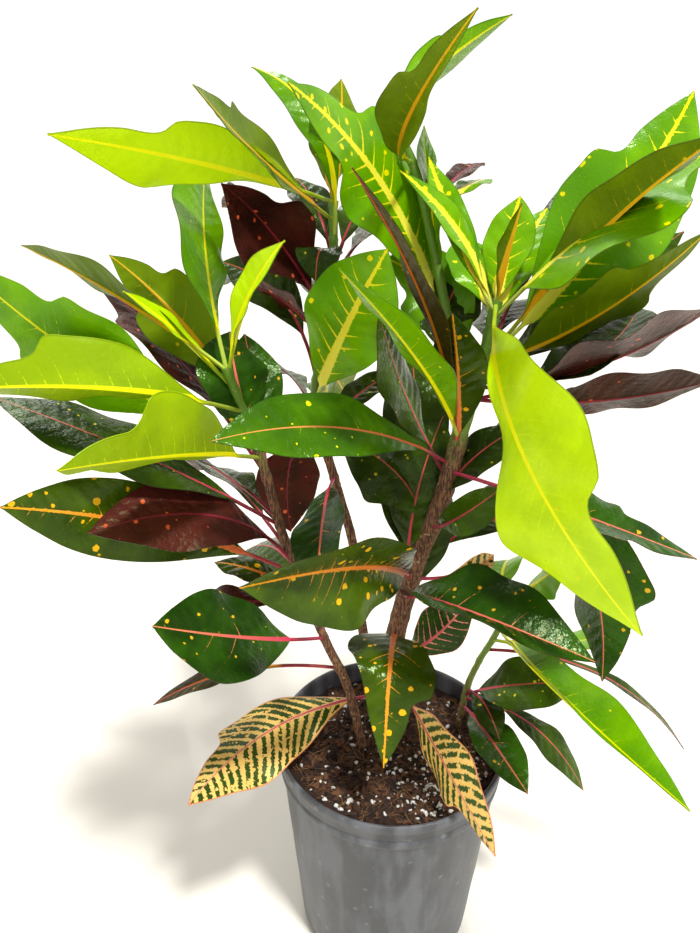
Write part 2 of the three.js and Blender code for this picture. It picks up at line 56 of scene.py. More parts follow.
# Node types and settings that recur.
MATH = "ShaderNodeMath"
MIX = "ShaderNodeMix"
RANGE = "ShaderNodeMapRange"
NOISE = "ShaderNodeTexNoise"
CELLS = "ShaderNodeTexVoronoi"
WHITE = "ShaderNodeTexWhiteNoise"
SPLIT = "ShaderNodeSeparateXYZ"
JOIN = "ShaderNodeCombineXYZ"
PLACE = "ShaderNodeTexCoord"
BUMP = "ShaderNodeBump"
SHADER = "ShaderNodeBsdfPrincipled"
RANDOM = "FunctionNodeRandomValue"
SMOOTH = {"interpolation_type": "SMOOTHSTEP"}
COLOURS = {"data_type": "RGBA"}
VECTORS = {"data_type": "FLOAT_VECTOR"}
# A noise texture seldom leaves these two values.
NOISE_LOW, NOISE_HIGH = 0.3, 0.7

Colour = tuple[float, float, float, float]
Point = tuple[float, float, float]
Profile = tuple[tuple[float, float], ...]
Socket = bpy.types.NodeSocket


class Outline(Enum):
    """Shape of one half of a blade."""

    OAK = "oak"
    PLAIN = "plain"
    LATE = "late"
    EARLY = "early"
    SLIM = "slim"


class Coat(Enum):
    """Colouring of a leaf, from the youngest leaves to the oldest."""

    LIME = "lime"
    YOUNG = "young"
    GREEN = "green"
    VEINED = "veined"
    SPOTTED = "spotted"
    DARK = "dark"
    RIBBED = "ribbed"
    GOLD = "gold"
    FEATHER = "feather"
    STRIPED = "striped"


# Share of the half width along the blade, from its foot (0) to its tip (1).
OUTLINE_POINTS: dict[Outline, list[tuple[float, float]]] = {
    Outline.OAK: [
        (0, 0), (0.08, 0.22), (0.25, 0.68), (0.45, 0.98), (0.58, 0.97), (0.655, 0.88),
        (0.68, 0.62), (0.72, 0.5), (0.8, 0.44), (0.9, 0.26), (1, 0),
    ],
    Outline.PLAIN: [
        (0, 0), (0.08, 0.2), (0.25, 0.62), (0.45, 0.95), (0.6, 1), (0.75, 0.84),
        (0.88, 0.48), (0.95, 0.22), (1, 0),
    ],
    Outline.LATE: [
        (0, 0), (0.15, 0.12), (0.35, 0.3), (0.52, 0.62), (0.64, 0.98), (0.7, 0.93), (0.8, 0.62),
        (0.9, 0.32), (1, 0),
    ],
    Outline.EARLY: [
        (0, 0), (0.06, 0.45), (0.16, 0.9), (0.27, 1), (0.4, 0.82), (0.55, 0.6), (0.75, 0.4),
        (0.9, 0.18), (1, 0),
    ],
    Outline.SLIM: [
        (0, 0), (0.1, 0.25), (0.3, 0.72), (0.5, 1), (0.65, 0.93), (0.8, 0.62), (0.92, 0.25), (1, 0),
    ],
}

# Each stem runs through these points and tapers from one radius to the other.
STEM_PATHS: dict[str, tuple[list[Point], float, float]] = {
    "cane": (
        [
            (-16, -3, 140), (-30, -5, 211), (-46, -14, 261), (-69, -25, 340), (-79, -34, 394),
            (-94, -45, 453),
        ],
        3.3,
        2.6,
    ),
    "trunk": (
        [
            (-9, 31, 140), (-5, 18, 200), (1, 10, 250), (12, 5, 310), (21, 0, 342), (29, -5, 376),
            (34, -8, 408),
        ],
        7.5,
        5.2,
    ),
    "left": (
        [
            (-14, 48, 140), (-16, 44, 173), (-25, 45, 236), (-32, 45, 300), (-45, 42, 352),
            (-58, 38, 411), (-47, 40, 469), (-46, 40, 533),
        ],
        4,
        2.6,
    ),
    "mid": (
        [
            (33, -7, 398), (32, 2, 431), (25, 14, 464), (14, 22, 508), (3, 28, 545), (-7, 30, 567),
        ],
        3.6,
        2.4,
    ),
    "right": (
        [
            (33, -8, 398), (40, -13, 435), (45, -12, 464), (48, -10, 485),
        ],
        3.6,
        3,
    ),
    "sapling": (
        [
            (50, 26, 140), (56, 28, 191), (63, 26, 220), (73, 22, 250), (75, 18, 278),
        ],
        2.6,
        2,
    ),
    "striped": (
        [
            (10, 12, 140), (9, 9, 180), (9, 7, 205),
        ],
        2.6,
        2,
    ),
}

# A leaf: height of its root on the stem, tip, blade width, rise of the midrib above the straight
# line, sideways bend, turn about the midrib in degrees, share of the length that is petiole, fold
# of the halves in degrees, outlines of the left and the right half, coat, and 1 if it is rolled
# over and shows its back.
LEAF_ROWS: dict[str, list[tuple]] = {
    "cane_lime": [
        (452, (-111, 2, 552), 50, 13, -6, 58, 0.16, 4, "slim", "slim", "green"),
        (449, (-55, -80, 520), 22, 7, 0, 75, 0.12, 40, "slim", "slim", "lime"),
        (440, (-132, -77, 496), 15, 3, 8, -36, 0.2, 34, "slim", "slim", "lime"),
        (451, (-199, -38, 512), 33, 8, -11, 38, 0.15, 23, "slim", "oak", "green"),
        (425, (-165, -10, 505), 42, 4, 6, 110, 0.2, 10, "oak", "oak", "green"),
        (408, (-208, -79, 509), 59, -8, -9, -120, 0.22, 6, "oak", "oak", "young"),
        (427, (-213, -99, 452), 47, 13, -24, -109, 0.18, -47, "plain", "oak", "lime", 1),
        (398, (-133, -159, 440), 58, 4, -3, -130, 0.18, -29, "plain", "oak", "lime", 1),
        (404, (-98, -18, 466), 44, 10, -8, 6, 0.15, 5, "plain", "plain", "ribbed"),
    ],
    "cane_dark": [
        (386, (-188, 12, 492), 46, 8, 0, 10, 0.25, 10, "oak", "oak", "dark", 1),
        (384, (-95, 5, 460), 34, 6, 0, 0, 0.2, 12, "plain", "plain", "ribbed"),
        (355, (-150, -20, 400), 34, 8, 0, 30, 0.25, 10, "plain", "plain", "dark", 1),
        (351, (-210, -70, 440), 48, 8, -10, -15, 0.2, 10, "plain", "plain", "dark"),
        (322, (-155, -100, 380), 44, 22, -3, -35, 0.2, 5, "plain", "plain", "dark", 1),
        (314, (-195, -105, 395), 44, 6, 8, -70, 0.2, 6, "plain", "plain", "gold"),
        (293, (-120, -5, 310), 26, 6, 0, 0, 0.25, 10, "plain", "plain", "gold"),
        (277, (-145, -30, 255), 40, 26, 0, -10, 0.25, 12, "plain", "plain", "dark", 1),
        (262, (-125, -105, 330), 54, 0, -8, -45, 0.28, 12, "plain", "plain", "ribbed"),
        (233, (-165, -25, 205), 20, 14, 0, 0, 0.3, 15, "plain", "plain", "gold", 1),
        (330, (-150, 65, 345), 46, 22, -6, 25, 0.2, 24, "plain", "plain", "dark"),
        (285, (-130, 80, 262), 44, 24, 8, -20, 0.2, -12, "oak", "plain", "dark"),
    ],
    "left_top": [
        (531, (-55, 20, 580), 20, 2, 0, 0, 0.12, 20, "slim", "slim", "veined"),
        (532, (-45, 75, 600), 30, 3, 2, 45, 0.15, 14, "slim", "slim", "green", 1),
        (511, (-95, 56, 604), 21, 27, -14, -38, 0.15, -5, "slim", "slim", "green"),
        (522, (-87, -95, 579), 35, 2, 8, 123, 0.12, -12, "oak", "oak", "green"),
        (532, (-146, -101, 561), 40, 3, -4, -130, 0.16, 10, "late", "oak", "lime"),
    ],
    "left_dark": [
        (495, (-75, 85, 545), 30, 8, 0, 0, 0.2, 10, "plain", "plain", "dark"),
        (492, (-20, 80, 545), 30, 6, 0, 0, 0.25, 12, "plain", "plain", "dark"),
        (498, (-54, 18, 489), 30, 14, 0, 0, 0.12, 12, "plain", "plain", "dark"),
        (460, (-105, 10, 542), 61, 11, 25, 80, 0.18, -42, "oak", "plain", "dark"),
        (447, (-100, 40, 485), 30, 6, 0, 30, 0.2, 12, "plain", "plain", "dark"),
        (424, (-126, 81, 492), 35, 17, 3, -44, 0.25, 25, "plain", "plain", "dark"),
        (492, (-135, 125, 525), 42, 16, -8, 30, 0.15, 22, "oak", "plain", "dark"),
        (488, (-10, 165, 508), 44, 22, 8, -25, 0.15, 6, "plain", "oak", "dark"),
        (465, (-150, 130, 462), 46, 24, 6, -30, 0.2, 26, "plain", "plain", "dark"),
        (450, (-55, 190, 440), 48, 30, -8, 20, 0.2, -8, "oak", "oak", "dark"),
    ],
    "left_green": [
        (409, (-12, 0, 510), 58, 0, 4, 110, 0.12, 14, "plain", "plain", "veined"),
        (396, (-81, 65, 298), 49, 18, 0, 18, 0.2, 6, "plain", "plain", "dark"),
        (354, (-45, -60, 320), 40, 16, 1, 33, 0.18, 24, "plain", "plain", "ribbed"),
        (389, (-5, 10, 440), 22, 3, 0, -40, 0.2, 15, "plain", "plain", "dark", 1),
        (385, (-140, 150, 392), 48, 26, 8, 35, 0.2, 18, "oak", "plain", "dark"),
        (375, (-50, 190, 366), 48, 32, -6, -30, 0.2, 24, "plain", "plain", "green"),
    ],
    "mid_green": [
        (554, (24, -58, 611), 35, -15, 18, 119, 0.12, 54, "oak", "oak", "green", 1),
        (565, (52, 66, 631), 31, 2, -28, 97, 0.12, -55, "oak", "slim", "green"),
        (526, (45, 95, 555), 20, 6, 0, 0, 0.3, 20, "slim", "slim", "dark", 1),
        (518, (50, 90, 545), 20, 8, 0, 0, 0.35, 10, "slim", "slim", "veined"),
        (480, (5, 22, 572), 50, -2, 4, 30, 0.18, 6, "plain", "plain", "green", 1),
        (455, (-59, -37, 586), 62, 25, 28, -67, 0.15, 7, "oak", "oak", "veined"),
        (433, (38, 32, 499), 39, 7, -12, 16, 0.25, 0, "plain", "plain", "dark"),
        (433, (-14, 32, 502), 47, 12, 9, -48, 0.18, 20, "oak", "plain", "green"),
    ],
    "trunk_dark": [
        (399, (-25, -89, 550), 25, 7, -7, -24, 0.12, 18, "plain", "oak", "gold"),
        (403, (-30, -90, 510), 35, 0, -11, -6, 0.15, 25, "slim", "slim", "green", 1),
        (396, (22, -52, 485), 33, 0, -2, -10, 0.12, 30, "plain", "plain", "gold", 1),
        (386, (-90, -95, 430), 40, 14, 2, -45, 0.14, 20, "plain", "plain", "spotted"),
        (376, (-15, -25, 480), 42, -2, 8, -45, 0.2, 4, "plain", "plain", "dark"),
        (330, (-38, 5, 396), 52, 15, -2, -25, 0.18, -11, "plain", "plain", "dark"),
        (293, (25, 20, 409), 43, 15, 6, 46, 0.25, -2, "plain", "plain", "dark"),
        (298, (-74, -120, 366), 68, 15, -15, -105, 0.14, 45, "plain", "plain", "gold"),
        (282, (105, -92, 314), 65, 24, 28, 0, 0.12, 44, "plain", "plain", "ribbed"),
        (238, (53, 5, 292), 34, 2, 28, 76, 0.25, -20, "plain", "plain", "feather"),
        (250, (-3, -83, 222), 57, 36, 0, 0, 0.13, 8, "oak", "early", "gold"),
        (342, (122, -59, 276), 68, 42, -21, 114, 0.35, -16, "oak", "plain", "ribbed"),
        (382, (147, -85, 374), 44, 16, 28, -2, 0.3, 22, "oak", "oak", "ribbed"),
        (370, (130, 120, 380), 48, 26, 8, -35, 0.18, 20, "plain", "plain", "dark"),
        (305, (4, 104, 436), 45, 18, 1, -14, 0.18, 4, "plain", "oak", "dark"),
        (300, (110, 115, 285), 46, 30, 6, 30, 0.18, 24, "plain", "plain", "dark"),
        (266, (-20, 31, 387), 48, 22, 13, -33, 0.18, 24, "plain", "plain", "dark"),
        (351, (71, -5, 413), 27, 10, 7, 40, 0.2, 12, "plain", "plain", "dark"),
        (341, (59, -30, 385), 26, -3, 13, -73, 0.25, -35, "plain", "plain", "dark", 1),
        (299, (67, 36, 303), 19, 0, 11, 37, 0.3, 55, "plain", "slim", "striped"),
    ],
    "right_green": [
        (479, (8, 6, 556), 20, 4, -18, -42, 0.12, 40, "slim", "slim", "veined"),
        (477, (-6, -46, 549), 18, 7, -2, -65, 0.1, 25, "slim", "slim", "veined"),
        (484, (55, -20, 535), 14, 0, 0, 10, 0.08, 50, "slim", "slim", "veined"),
        (474, (30, 30, 515), 34, 2, 0, 0, 0.14, 10, "plain", "plain", "veined"),
        (476, (60, 24, 537), 28, 3, 0, 0, 0.12, 12, "plain", "plain", "veined"),
        (466, (80, 50, 530), 32, 6, 0, 0, 0.15, 10, "plain", "plain", "veined"),
        (452, (137, 5, 587), 63, -4, 13, 83, 0.16, 0, "oak", "plain", "veined"),
        (474, (140, -38, 564), 81, 6, 28, 13, 0.2, 0, "plain", "oak", "veined"),
        (450, (135, -50, 525), 48, -8, 7, -32, 0.14, 20, "oak", "oak", "green"),
        (484, (105, -143, 368), 84, 11, 28, 85, 0.1, 11, "oak", "late", "lime"),
        (449, (106, -125, 562), 34, 16, -15, -14, 0.2, 55, "slim", "slim", "green"),
    ],
    "right_dark": [
        (437, (100, 75, 550), 26, 6, 0, -20, 0.3, 15, "slim", "slim", "dark"),
        (438, (150, 20, 520), 42, -2, -8, 24, 0.14, 6, "plain", "plain", "dark"),
        (430, (132, 19, 478), 54, 1, 28, 1, 0.18, 25, "plain", "plain", "dark"),
        (430, (170, -10, 445), 42, -4, 8, -48, 0.18, 20, "plain", "plain", "dark"),
        (440, (110, 130, 498), 46, 20, -8, -30, 0.18, 22, "oak", "plain", "dark"),
        (434, (140, 100, 430), 46, 26, 8, 30, 0.18, 26, "plain", "plain", "dark"),
        (438, (60, 165, 440), 48, 28, 8, -20, 0.18, -8, "plain", "oak", "dark"),
        (437, (147, -40, 488), 81, -7, 11, -21, 0.2, 16, "plain", "plain", "dark"),
    ],
    "sapling_dark": [
        (231, (210, 5, 170), 12, 24, 0, 0, 0.2, 25, "slim", "slim", "dark"),
        (186, (127, -9, 234), 43, 11, 13, 29, 0.2, 19, "plain", "plain", "dark"),
        (191, (75, -20, 190), 22, 10, 0, 0, 0.2, 10, "plain", "plain", "dark"),
        (183, (135, -25, 155), 26, 20, 0, 0, 0.25, 8, "plain", "plain", "dark"),
        (177, (90, -55, 180), 34, 9, 4, 5, 0.15, 30, "plain", "plain", "ribbed"),
        (220, (105, 115, 222), 36, 22, 6, 25, 0.2, 20, "plain", "plain", "dark"),
    ],
    "sapling_green": [
        (272, (102, -14, 326), 29, 1, -3, 54, 0.35, -14, "plain", "plain", "young"),
        (241, (150, -15, 280), 34, 3, 14, -5, 0.12, 12, "plain", "plain", "young"),
        (253, (138, -152, 280), 41, 12, 16, -11, 0.14, 54, "plain", "oak", "young"),
        (262, (95, 90, 266), 34, 18, -6, -25, 0.15, 18, "plain", "oak", "young"),
    ],
    "striped_leaves": [
        (203, (-123, -88, 185), 56, -4, 29, -9, 0.2, -8, "plain", "oak", "striped"),
        (204, (64, -104, 182), 43, 13, 6, 78, 0.14, 1, "plain", "oak", "striped"),
    ],
}


# The stretches of stem that each leafy node holds, each with its lowest and highest point.
NODE_STEMS: dict[str, list[tuple[str, float, float]]] = {
    "cane_dark": [("cane", 146, 397)],
    "cane_lime": [("cane", 397, 453)],
    "left_stem": [("left", 146, 350)],
    "left_green": [("left", 350, 420)],
    "left_dark": [("left", 420, 508)],
    "left_top": [("left", 508, 533)],
    "trunk_stem": [("trunk", 146, 236)],
    "trunk_dark": [("trunk", 236, 408), ("mid", 398, 428), ("right", 398, 428)],
    "mid_green": [("mid", 428, 567)],
    "right_dark": [("right", 428, 447)],
    "right_green": [("right", 447, 485)],
    "sapling_dark": [("sapling", 146, 234)],
    "sapling_green": [("sapling", 234, 278)],
    "striped_leaves": [("striped", 146, 205)],
}

# Material slot of each leafy node, in the order of making.
NODE_SLOTS: dict[str, str] = {
    "left_stem": "bark",
    "trunk_stem": "bark",
    "cane_dark": "old_leaf",
    "trunk_dark": "old_leaf",
    "left_dark": "old_leaf",
    "right_dark": "old_leaf",
    "sapling_dark": "old_leaf",
    "cane_lime": "lime_leaf",
    "left_green": "green_leaf",
    "left_top": "green_leaf",
    "mid_green": "green_leaf",
    "right_green": "green_leaf",
    "sapling_green": "green_leaf",
    "striped_leaves": "striped_leaf",
}


def linear(code: str) -> Colour:
    """Turns an sRGB hex value into linear light.

    Args:
        code: The colour as "#rrggbb".

    Returns:
        Red, green, blue and an alpha of one.
    """
    shares = [int(code[i : i + 2], 16) / 255 for i in (1, 3, 5)]
    low, cut, gamma = 12.92, 0.04045, 2.4
    light = [s / low if s <= cut else ((s + 0.055) / 1.055) ** gamma for s in shares]
    return (light[0], light[1], light[2], 1.0)


@dataclass
class Bench:
    """A node tree on the bench, with the one way of adding a node to it."""

    tree: bpy.types.NodeTree

    def add(
        self, kind: str, feeds: dict | None = None, out: int | str = 0, **settings: object
    ) -> Socket | bpy.types.Node:
        """Adds a node, sets it up and links it.

        Args:
            kind: Type name of the node.
            feeds: For each input, by name or number, a value or the output that feeds it.
            out: The output that is wanted, by name or number.
            **settings: Properties of the node.

        Returns:
            The wanted output, or the node itself if it has none.
        """
        node = self.tree.nodes.new(kind)
        for name, value in settings.items():
            setattr(node, name, value)
        for key, value in (feeds or {}).items():
            if isinstance(value, Socket):
                self.tree.links.new(value, node.inputs[key])
            else:
                node.inputs[key].default_value = value
        return node.outputs[out] if len(node.outputs) else node


@dataclass(frozen=True)
class Finish:
    """What a surface is made of, and the nodes that show it."""

    name: str

    @cache
    def material(self) -> bpy.types.Material:
        """Builds the material the first time that it is asked for.

        Returns:
            The material.
        """
        material = bpy.data.materials.new(self.name)
        material.use_nodes = True
        material.node_tree.nodes.clear()
        bench = Bench(material.node_tree)
        bench.add("ShaderNodeOutputMaterial", {"Surface": self.shader(bench)})
        return material

    def shader(self, bench: Bench) -> Socket:
        """Builds the nodes up to the surface shader; each kind of finish has its own."""
        raise NotImplementedError


@dataclass(frozen=True)
class BladePlace:
    """Outputs that tell where on its leaf a shaded point lies. The leaf's mesh carries them."""

    along: Socket  # share of the way along the blade, below zero on the stalk
    rib: Socket  # distance from the midrib's side, in millimetres
    rim: Socket  # distance from the rim, in millimetres
    veins: Socket  # number of the side vein, whole on a vein
    across: Socket  # share of the way from the midrib to the edge
    leaf: Socket  # the leaf's own number
    where: Socket  # place on the plant, in metres
    ragged: Socket  # fine noise


@dataclass(frozen=True)
class LeafSkin(Finish):
    """One face of a croton leaf: waxy cuticle over coloured cells, smooth with sunken veins."""

    ground: str
    shade: str
    rib_foot: str
    rib_tip: str
    vein: str
    stalk: str
    rim: str
    spot: str = "#e8c820"
    vein_half: float = 0.35
    vein_half_tip: float = 0.2
    vein_shown: float = 1.0
    vein_reach: float = 0.8
    vein_gap: float = 8.0
    vein_varies: float = 0.0
    ragged: float = 0.15
    breaks: float = 0.0
    halo: float = 0.0
    margin: float = 0.0
    rim_width: float = 0.35
    spot_cell: float = 7.0
    spot_share: float = 0.0
    spot_radius: float = 1.3
    gloss: float = 0.3
    wax: float = 0.3
    grain: float = 0.12
    grain_size: float = 0.9
    quilt: float = 0.1
    quilt_cell: float = 2.6
    patch_size: float = 25.0
    ragged_per_mm: float = 0.65
    crumbs_per_mm: float = 0.23
    tone_spread: float = 0.14
    rim_strength: float = 0.7
    sheen_tint: str = "#e6ffc4"

    def shader(self, bench: Bench) -> Socket:
        """Builds the face from the leaf's own measures.

        Args:
            bench: The material's nodes.

        Returns:
            The surface shader.
        """
        add = bench.add
        blade = add("ShaderNodeAttribute", attribute_name="blade", out="Vector")
        vein = add("ShaderNodeAttribute", attribute_name="vein", out="Vector")
        measures = [out for label in (blade, vein) for out in add(SPLIT, {0: label}).node.outputs]
        where = add(PLACE, out="Object")
        ragged = add(NOISE, {0: where, "Scale": self.ragged_per_mm / MM, "Detail": 2.0})
        at = BladePlace(*measures, where, ragged)

        # Mottling in patches, with a tone of its own for each leaf.
        patches = add(NOISE, {0: where, "Scale": 1 / (self.patch_size * MM), "Detail": 3.0})
        tone = add(WHITE, {"W": at.leaf}, "Value", noise_dimensions="1D")
        tone = add(RANGE, {0: tone, 3: -self.tone_spread, 4: self.tone_spread})
        toned = add(MATH, {0: patches, 1: tone}, operation="ADD")
        mottle = add(RANGE, {0: toned, 1: 0.35, 2: 0.68}, **SMOOTH)
        colour = add(
            MIX, {0: mottle, 6: linear(self.ground), 7: linear(self.shade)}, 2, **COLOURS
        )
        warm = add(
            MIX, {0: at.along, 6: linear(self.rib_foot), 7: linear(self.rib_tip)}, 2, **COLOURS
        )
        marked = {0: self._veins(bench, at), 1: self._bands(bench, at)}
        on_rim = add(RANGE, {0: at.rim, 1: self.rim_width + 0.25, 2: self.rim_width})
        layers = (
            (self._spots(bench, at), linear(self.spot)),
            (add(MATH, marked, operation="MAXIMUM"), linear(self.vein)),
            (add(RANGE, {0: at.rib, 1: 0.2, 2: -0.15}, **SMOOTH), warm),
            (add(MATH, {0: on_rim, 1: self.rim_strength}, operation="MULTIPLY"), linear(self.rim)),
            (add(RANGE, {0: at.along, 1: 0.03, 2: -0.04}, **SMOOTH), linear(self.stalk)),
        )
        for mask, over in layers:
            colour = add(MIX, {0: mask, 6: colour, 7: over}, 2, **COLOURS)

        # Leathery grain of about a millimetre, and domes between the finest veins, break the gloss.
        grain = add(NOISE, {0: where, "Scale": 1 / (self.grain_size * MM), "Detail": 1.5})
        cells = add(CELLS, {0: where, "Scale": 1 / (self.quilt_cell * MM)}, "Distance")
        dome = add(MATH, {0: cells, 1: 2.0}, operation="POWER")
        dome = add(MATH, {0: dome, 1: -self.quilt}, operation="MULTIPLY")
        relief = add(MATH, {0: grain, 1: self.grain, 2: dome}, operation="MULTIPLY_ADD")
        normal = add(BUMP, {"Strength": 1.0, "Distance": MM, "Height": relief})
        rough = add(
            RANGE,
            {0: patches, 1: NOISE_LOW, 2: NOISE_HIGH, 3: self.gloss - 0.05, 4: self.gloss + 0.1},
        )
        looks = {"Base Color": colour, "Roughness": rough, "Normal": normal}
        sheen = {"Specular IOR Level": self.wax, "Specular Tint": linear(self.sheen_tint)}
        return add(SHADER, looks | sheen)

    def _spots(self, bench: Bench, at: BladePlace) -> Socket:
        """Draws flecks of pale tissue, each in a cell of its own.

        Args:
            bench: The material's nodes.
            at: Where the point lies.

        Returns:
            Mask, 1 on a fleck.
        """
        add = bench.add
        distance = add(CELLS, {0: at.where, "Scale": 1 / (self.spot_cell * MM)}, "Distance")
        draw = add(SPLIT, {0: distance.node.outputs["Color"]}).node.outputs
        size = add(RANGE, {0: draw[0], 3: 0.25 * self.spot_radius, 4: self.spot_radius})
        away = add(MATH, {0: distance, 1: self.spot_cell, 2: 0.0}, operation="MULTIPLY_ADD")
        uneven = add(RANGE, {0: at.ragged, 1: NOISE_LOW, 2: NOISE_HIGH, 3: -0.3, 4: 0.3})
        away = add(MATH, {0: away, 1: uneven}, operation="ADD")
        inside = add(MATH, {0: size, 1: away}, operation="SUBTRACT")
        mask = add(RANGE, {0: inside, 1: -0.1, 2: 0.15}, **SMOOTH)
        has = add(MATH, {0: draw[1], 1: self.spot_share}, operation="LESS_THAN")
        return add(MATH, {0: mask, 1: has}, operation="MULTIPLY")

    def _veins(self, bench: Bench, at: BladePlace) -> Socket:
        """Draws the coloured side veins, each with a length and width of its own.

        Args:
            bench: The material's nodes.
            at: Where the point lies.

        Returns:
            Mask, 1 on a vein.
        """
        add = bench.add
        number = add(MATH, {0: at.veins}, operation="ROUND")
        key = add(JOIN, {0: number, 1: at.leaf})
        draw = add(WHITE, {0: key}, "Value", noise_dimensions="3D")
        others = add(SPLIT, {0: draw.node.outputs["Color"]}).node.outputs
        reach = add(RANGE, {0: others[1], 3: 0.4 * self.vein_reach, 4: 1.25 * self.vein_reach})
        share = add(MATH, {0: at.across, 1: reach}, operation="DIVIDE")
        taper = add(RANGE, {0: share, 1: 0.0, 2: 1.0, 3: 1.0, 4: 0.0})
        widest = add(RANGE, {0: at.along, 3: self.vein_half, 4: self.vein_half_tip})
        own = add(RANGE, {0: others[2], 3: 1 - self.vein_varies, 4: 1 + self.vein_varies})
        half = add(MATH, {0: widest, 1: taper}, operation="MULTIPLY")
        half = add(MATH, {0: half, 1: own}, operation="MULTIPLY")
        near = add(MATH, {0: at.veins, 1: 0.5}, operation="PINGPONG")
        uneven = add(
            RANGE, {0: at.ragged, 1: NOISE_LOW, 2: NOISE_HIGH, 3: -self.ragged, 4: self.ragged}
        )
        away = add(MATH, {0: near, 1: self.vein_gap, 2: uneven}, operation="MULTIPLY_ADD")
        inside = add(MATH, {0: half, 1: away}, operation="SUBTRACT")
        mask = add(RANGE, {0: inside, 1: 0.0, 2: 0.2}, **SMOOTH)
        shown = add(MATH, {0: draw, 1: self.vein_shown}, operation="LESS_THAN")
        mask = add(MATH, {0: mask, 1: shown}, operation="MULTIPLY")
        # Crumbs of the vein's colour break up the stripes between them, more so near the tip.
        crumbs = add(NOISE, {0: at.where, "Scale": self.crumbs_per_mm / MM, "Detail": 2.0})
        crumbs = add(MATH, {0: at.along, 1: 0.1, 2: crumbs}, operation="MULTIPLY_ADD")
        broken = add(RANGE, {0: crumbs, 1: 0.65, 2: 0.68})
        broken = add(MATH, {0: broken, 1: self.breaks}, operation="MULTIPLY")
        return add(MATH, {0: mask, 1: broken}, operation="MAXIMUM")

    def _bands(self, bench: Bench, at: BladePlace) -> Socket:
        """Draws the coloured bands beside the midrib and along the rim.

        Args:
            bench: The material's nodes.
            at: Where the point lies.

        Returns:
            Mask, 1 on a band.
        """
        add = bench.add
        uneven = add(RANGE, {0: at.ragged, 1: NOISE_LOW, 2: NOISE_HIGH, 3: -0.5, 4: 0.5})
        masks = []
        for wide, distance in ((self.halo, at.rib), (self.margin, at.rim)):
            half = add(RANGE, {0: at.along, 3: wide, 4: 0.3 * wide})
            away = add(MATH, {0: distance, 1: uneven}, operation="ADD")
            inside = add(MATH, {0: half, 1: away}, operation="SUBTRACT")
            mask = add(RANGE, {0: inside, 1: 0.0, 2: 0.3}, **SMOOTH)
            masks.append(add(MATH, {0: mask, 1: float(wide > 0)}, operation="MULTIPLY"))
        return add(MATH, {0: masks[0], 1: masks[1]}, operation="MAXIMUM")


# Lime face: the leaf's own yellow-green, made brighter than its cells so that it paints in the glow
# of light shining through the thin blade.
LIME_FACE_AND_PAINTED_GLOW = LeafSkin(
    "lime_cuticle_and_painted_glow", "#ccf004", "#b6dc00", "#fcfc10", "#f6fa08", "#e4f418", "#9cb820", "#86a010",
    vein_half=0.4, vein_shown=0.9, vein_reach=0.85, spot="#e4e400", spot_share=0.15, gloss=0.3,
    quilt=0.1,
)
LIME_BACK = LeafSkin(
    "lime_leaf_back", "#98b600", "#86a400", "#f0ec00", "#e4e810", "#ccdc10", "#9cac38", "#6d860c",
    vein_half=0.4, vein_shown=0.9, vein_reach=0.9, gloss=0.45, grain=0.08, quilt=0.1, wax=0.2,
)
YOUNG_FACE = LeafSkin(
    "young_cuticle", "#74ac00", "#5a9400", "#f0ea00", "#d8dc00", "#ccd810", "#a0bc30", "#5c9010",
    vein_half=0.55, vein_shown=0.75, vein_reach=0.6, spot="#e4e030", spot_share=0.25, gloss=0.28,
    quilt=0.15,
)
GREEN_FACE = LeafSkin(
    "green_cuticle", "#6ea400", "#508800", "#f2e610", "#d4d410", "#c4cc20", "#b8cc50", "#3c7008",
    vein_half=0.45, vein_shown=0.8, vein_reach=0.8, spot="#e8dc30", spot_share=0.3, gloss=0.22,
    wax=0.3, quilt=0.1,
)
OLIVE_BACK = LeafSkin(
    "olive_leaf_back", "#708a04", "#5a7202", "#e0a410", "#e2b418", "#b8a810", "#98a030", "#4f620c",
    vein_half=0.45, vein_shown=0.75, vein_reach=0.8, spot="#c8b810", spot_share=0.15, gloss=0.4,
    wax=0.2, grain=0.1,
)
VEINED_FACE = LeafSkin(
    "veined_cuticle", "#74ae00", "#5a9600", "#fbf55c", "#f0e000", "#eee41c", "#ccdc70", "#4a8010",
    vein_half=1.3, vein_half_tip=0.6, vein_shown=0.8, vein_reach=0.75, vein_gap=9.5,
    spot="#efe000", spot_share=0.5, spot_radius=1.9, gloss=0.23, wax=0.3, halo=0.7, quilt=0.08,
)
SPOTTED_FACE = LeafSkin(
    "spotted_cuticle", "#4c7c08", "#325c06", "#e06a48", "#e8a050", "#d8d020", "#a03448", "#245010",
    vein_half=0.4, vein_shown=0.25, vein_reach=0.35, spot="#e8e010", spot_share=0.7,
    spot_radius=1.6, gloss=0.2, wax=0.35, grain=0.14, quilt=0.16,
)
DARK_FACE = LeafSkin(
    "dark_cuticle", "#3a540a", "#203008", "#b83050", "#c8604c", "#5c7420", "#8c2c40", "#1c380e",
    vein_half=0.35, vein_shown=0.35, vein_reach=0.5, spot="#c8bc20", spot_share=0.55,
    spot_radius=1.3, gloss=0.2, wax=0.3, grain=0.16, grain_size=0.8, quilt=0.22,
)
RIBBED_FACE = LeafSkin(
    "ribbed_cuticle", "#2f580a", "#1a3806", "#d03058", "#e88a60", "#dc8a50", "#b03450", "#243c0c",
    vein_half=0.55, vein_shown=0.4, vein_reach=0.75, spot="#e0b020", spot_share=0.6,
    spot_radius=1.5, gloss=0.2, wax=0.3, grain=0.15, grain_size=0.8, quilt=0.2,
)
GOLD_FACE = LeafSkin(
    "gold_ribbed_cuticle", "#425a04", "#2a3e04", "#e06a44", "#f0a418", "#e89a28", "#a83848",
    "#28400a", vein_half=0.9, vein_shown=0.5, vein_reach=0.65, spot="#e8b010", spot_share=0.6,
    spot_radius=2.2, gloss=0.2, wax=0.3, grain=0.12, grain_size=0.8, halo=0.4, quilt=0.14,
)
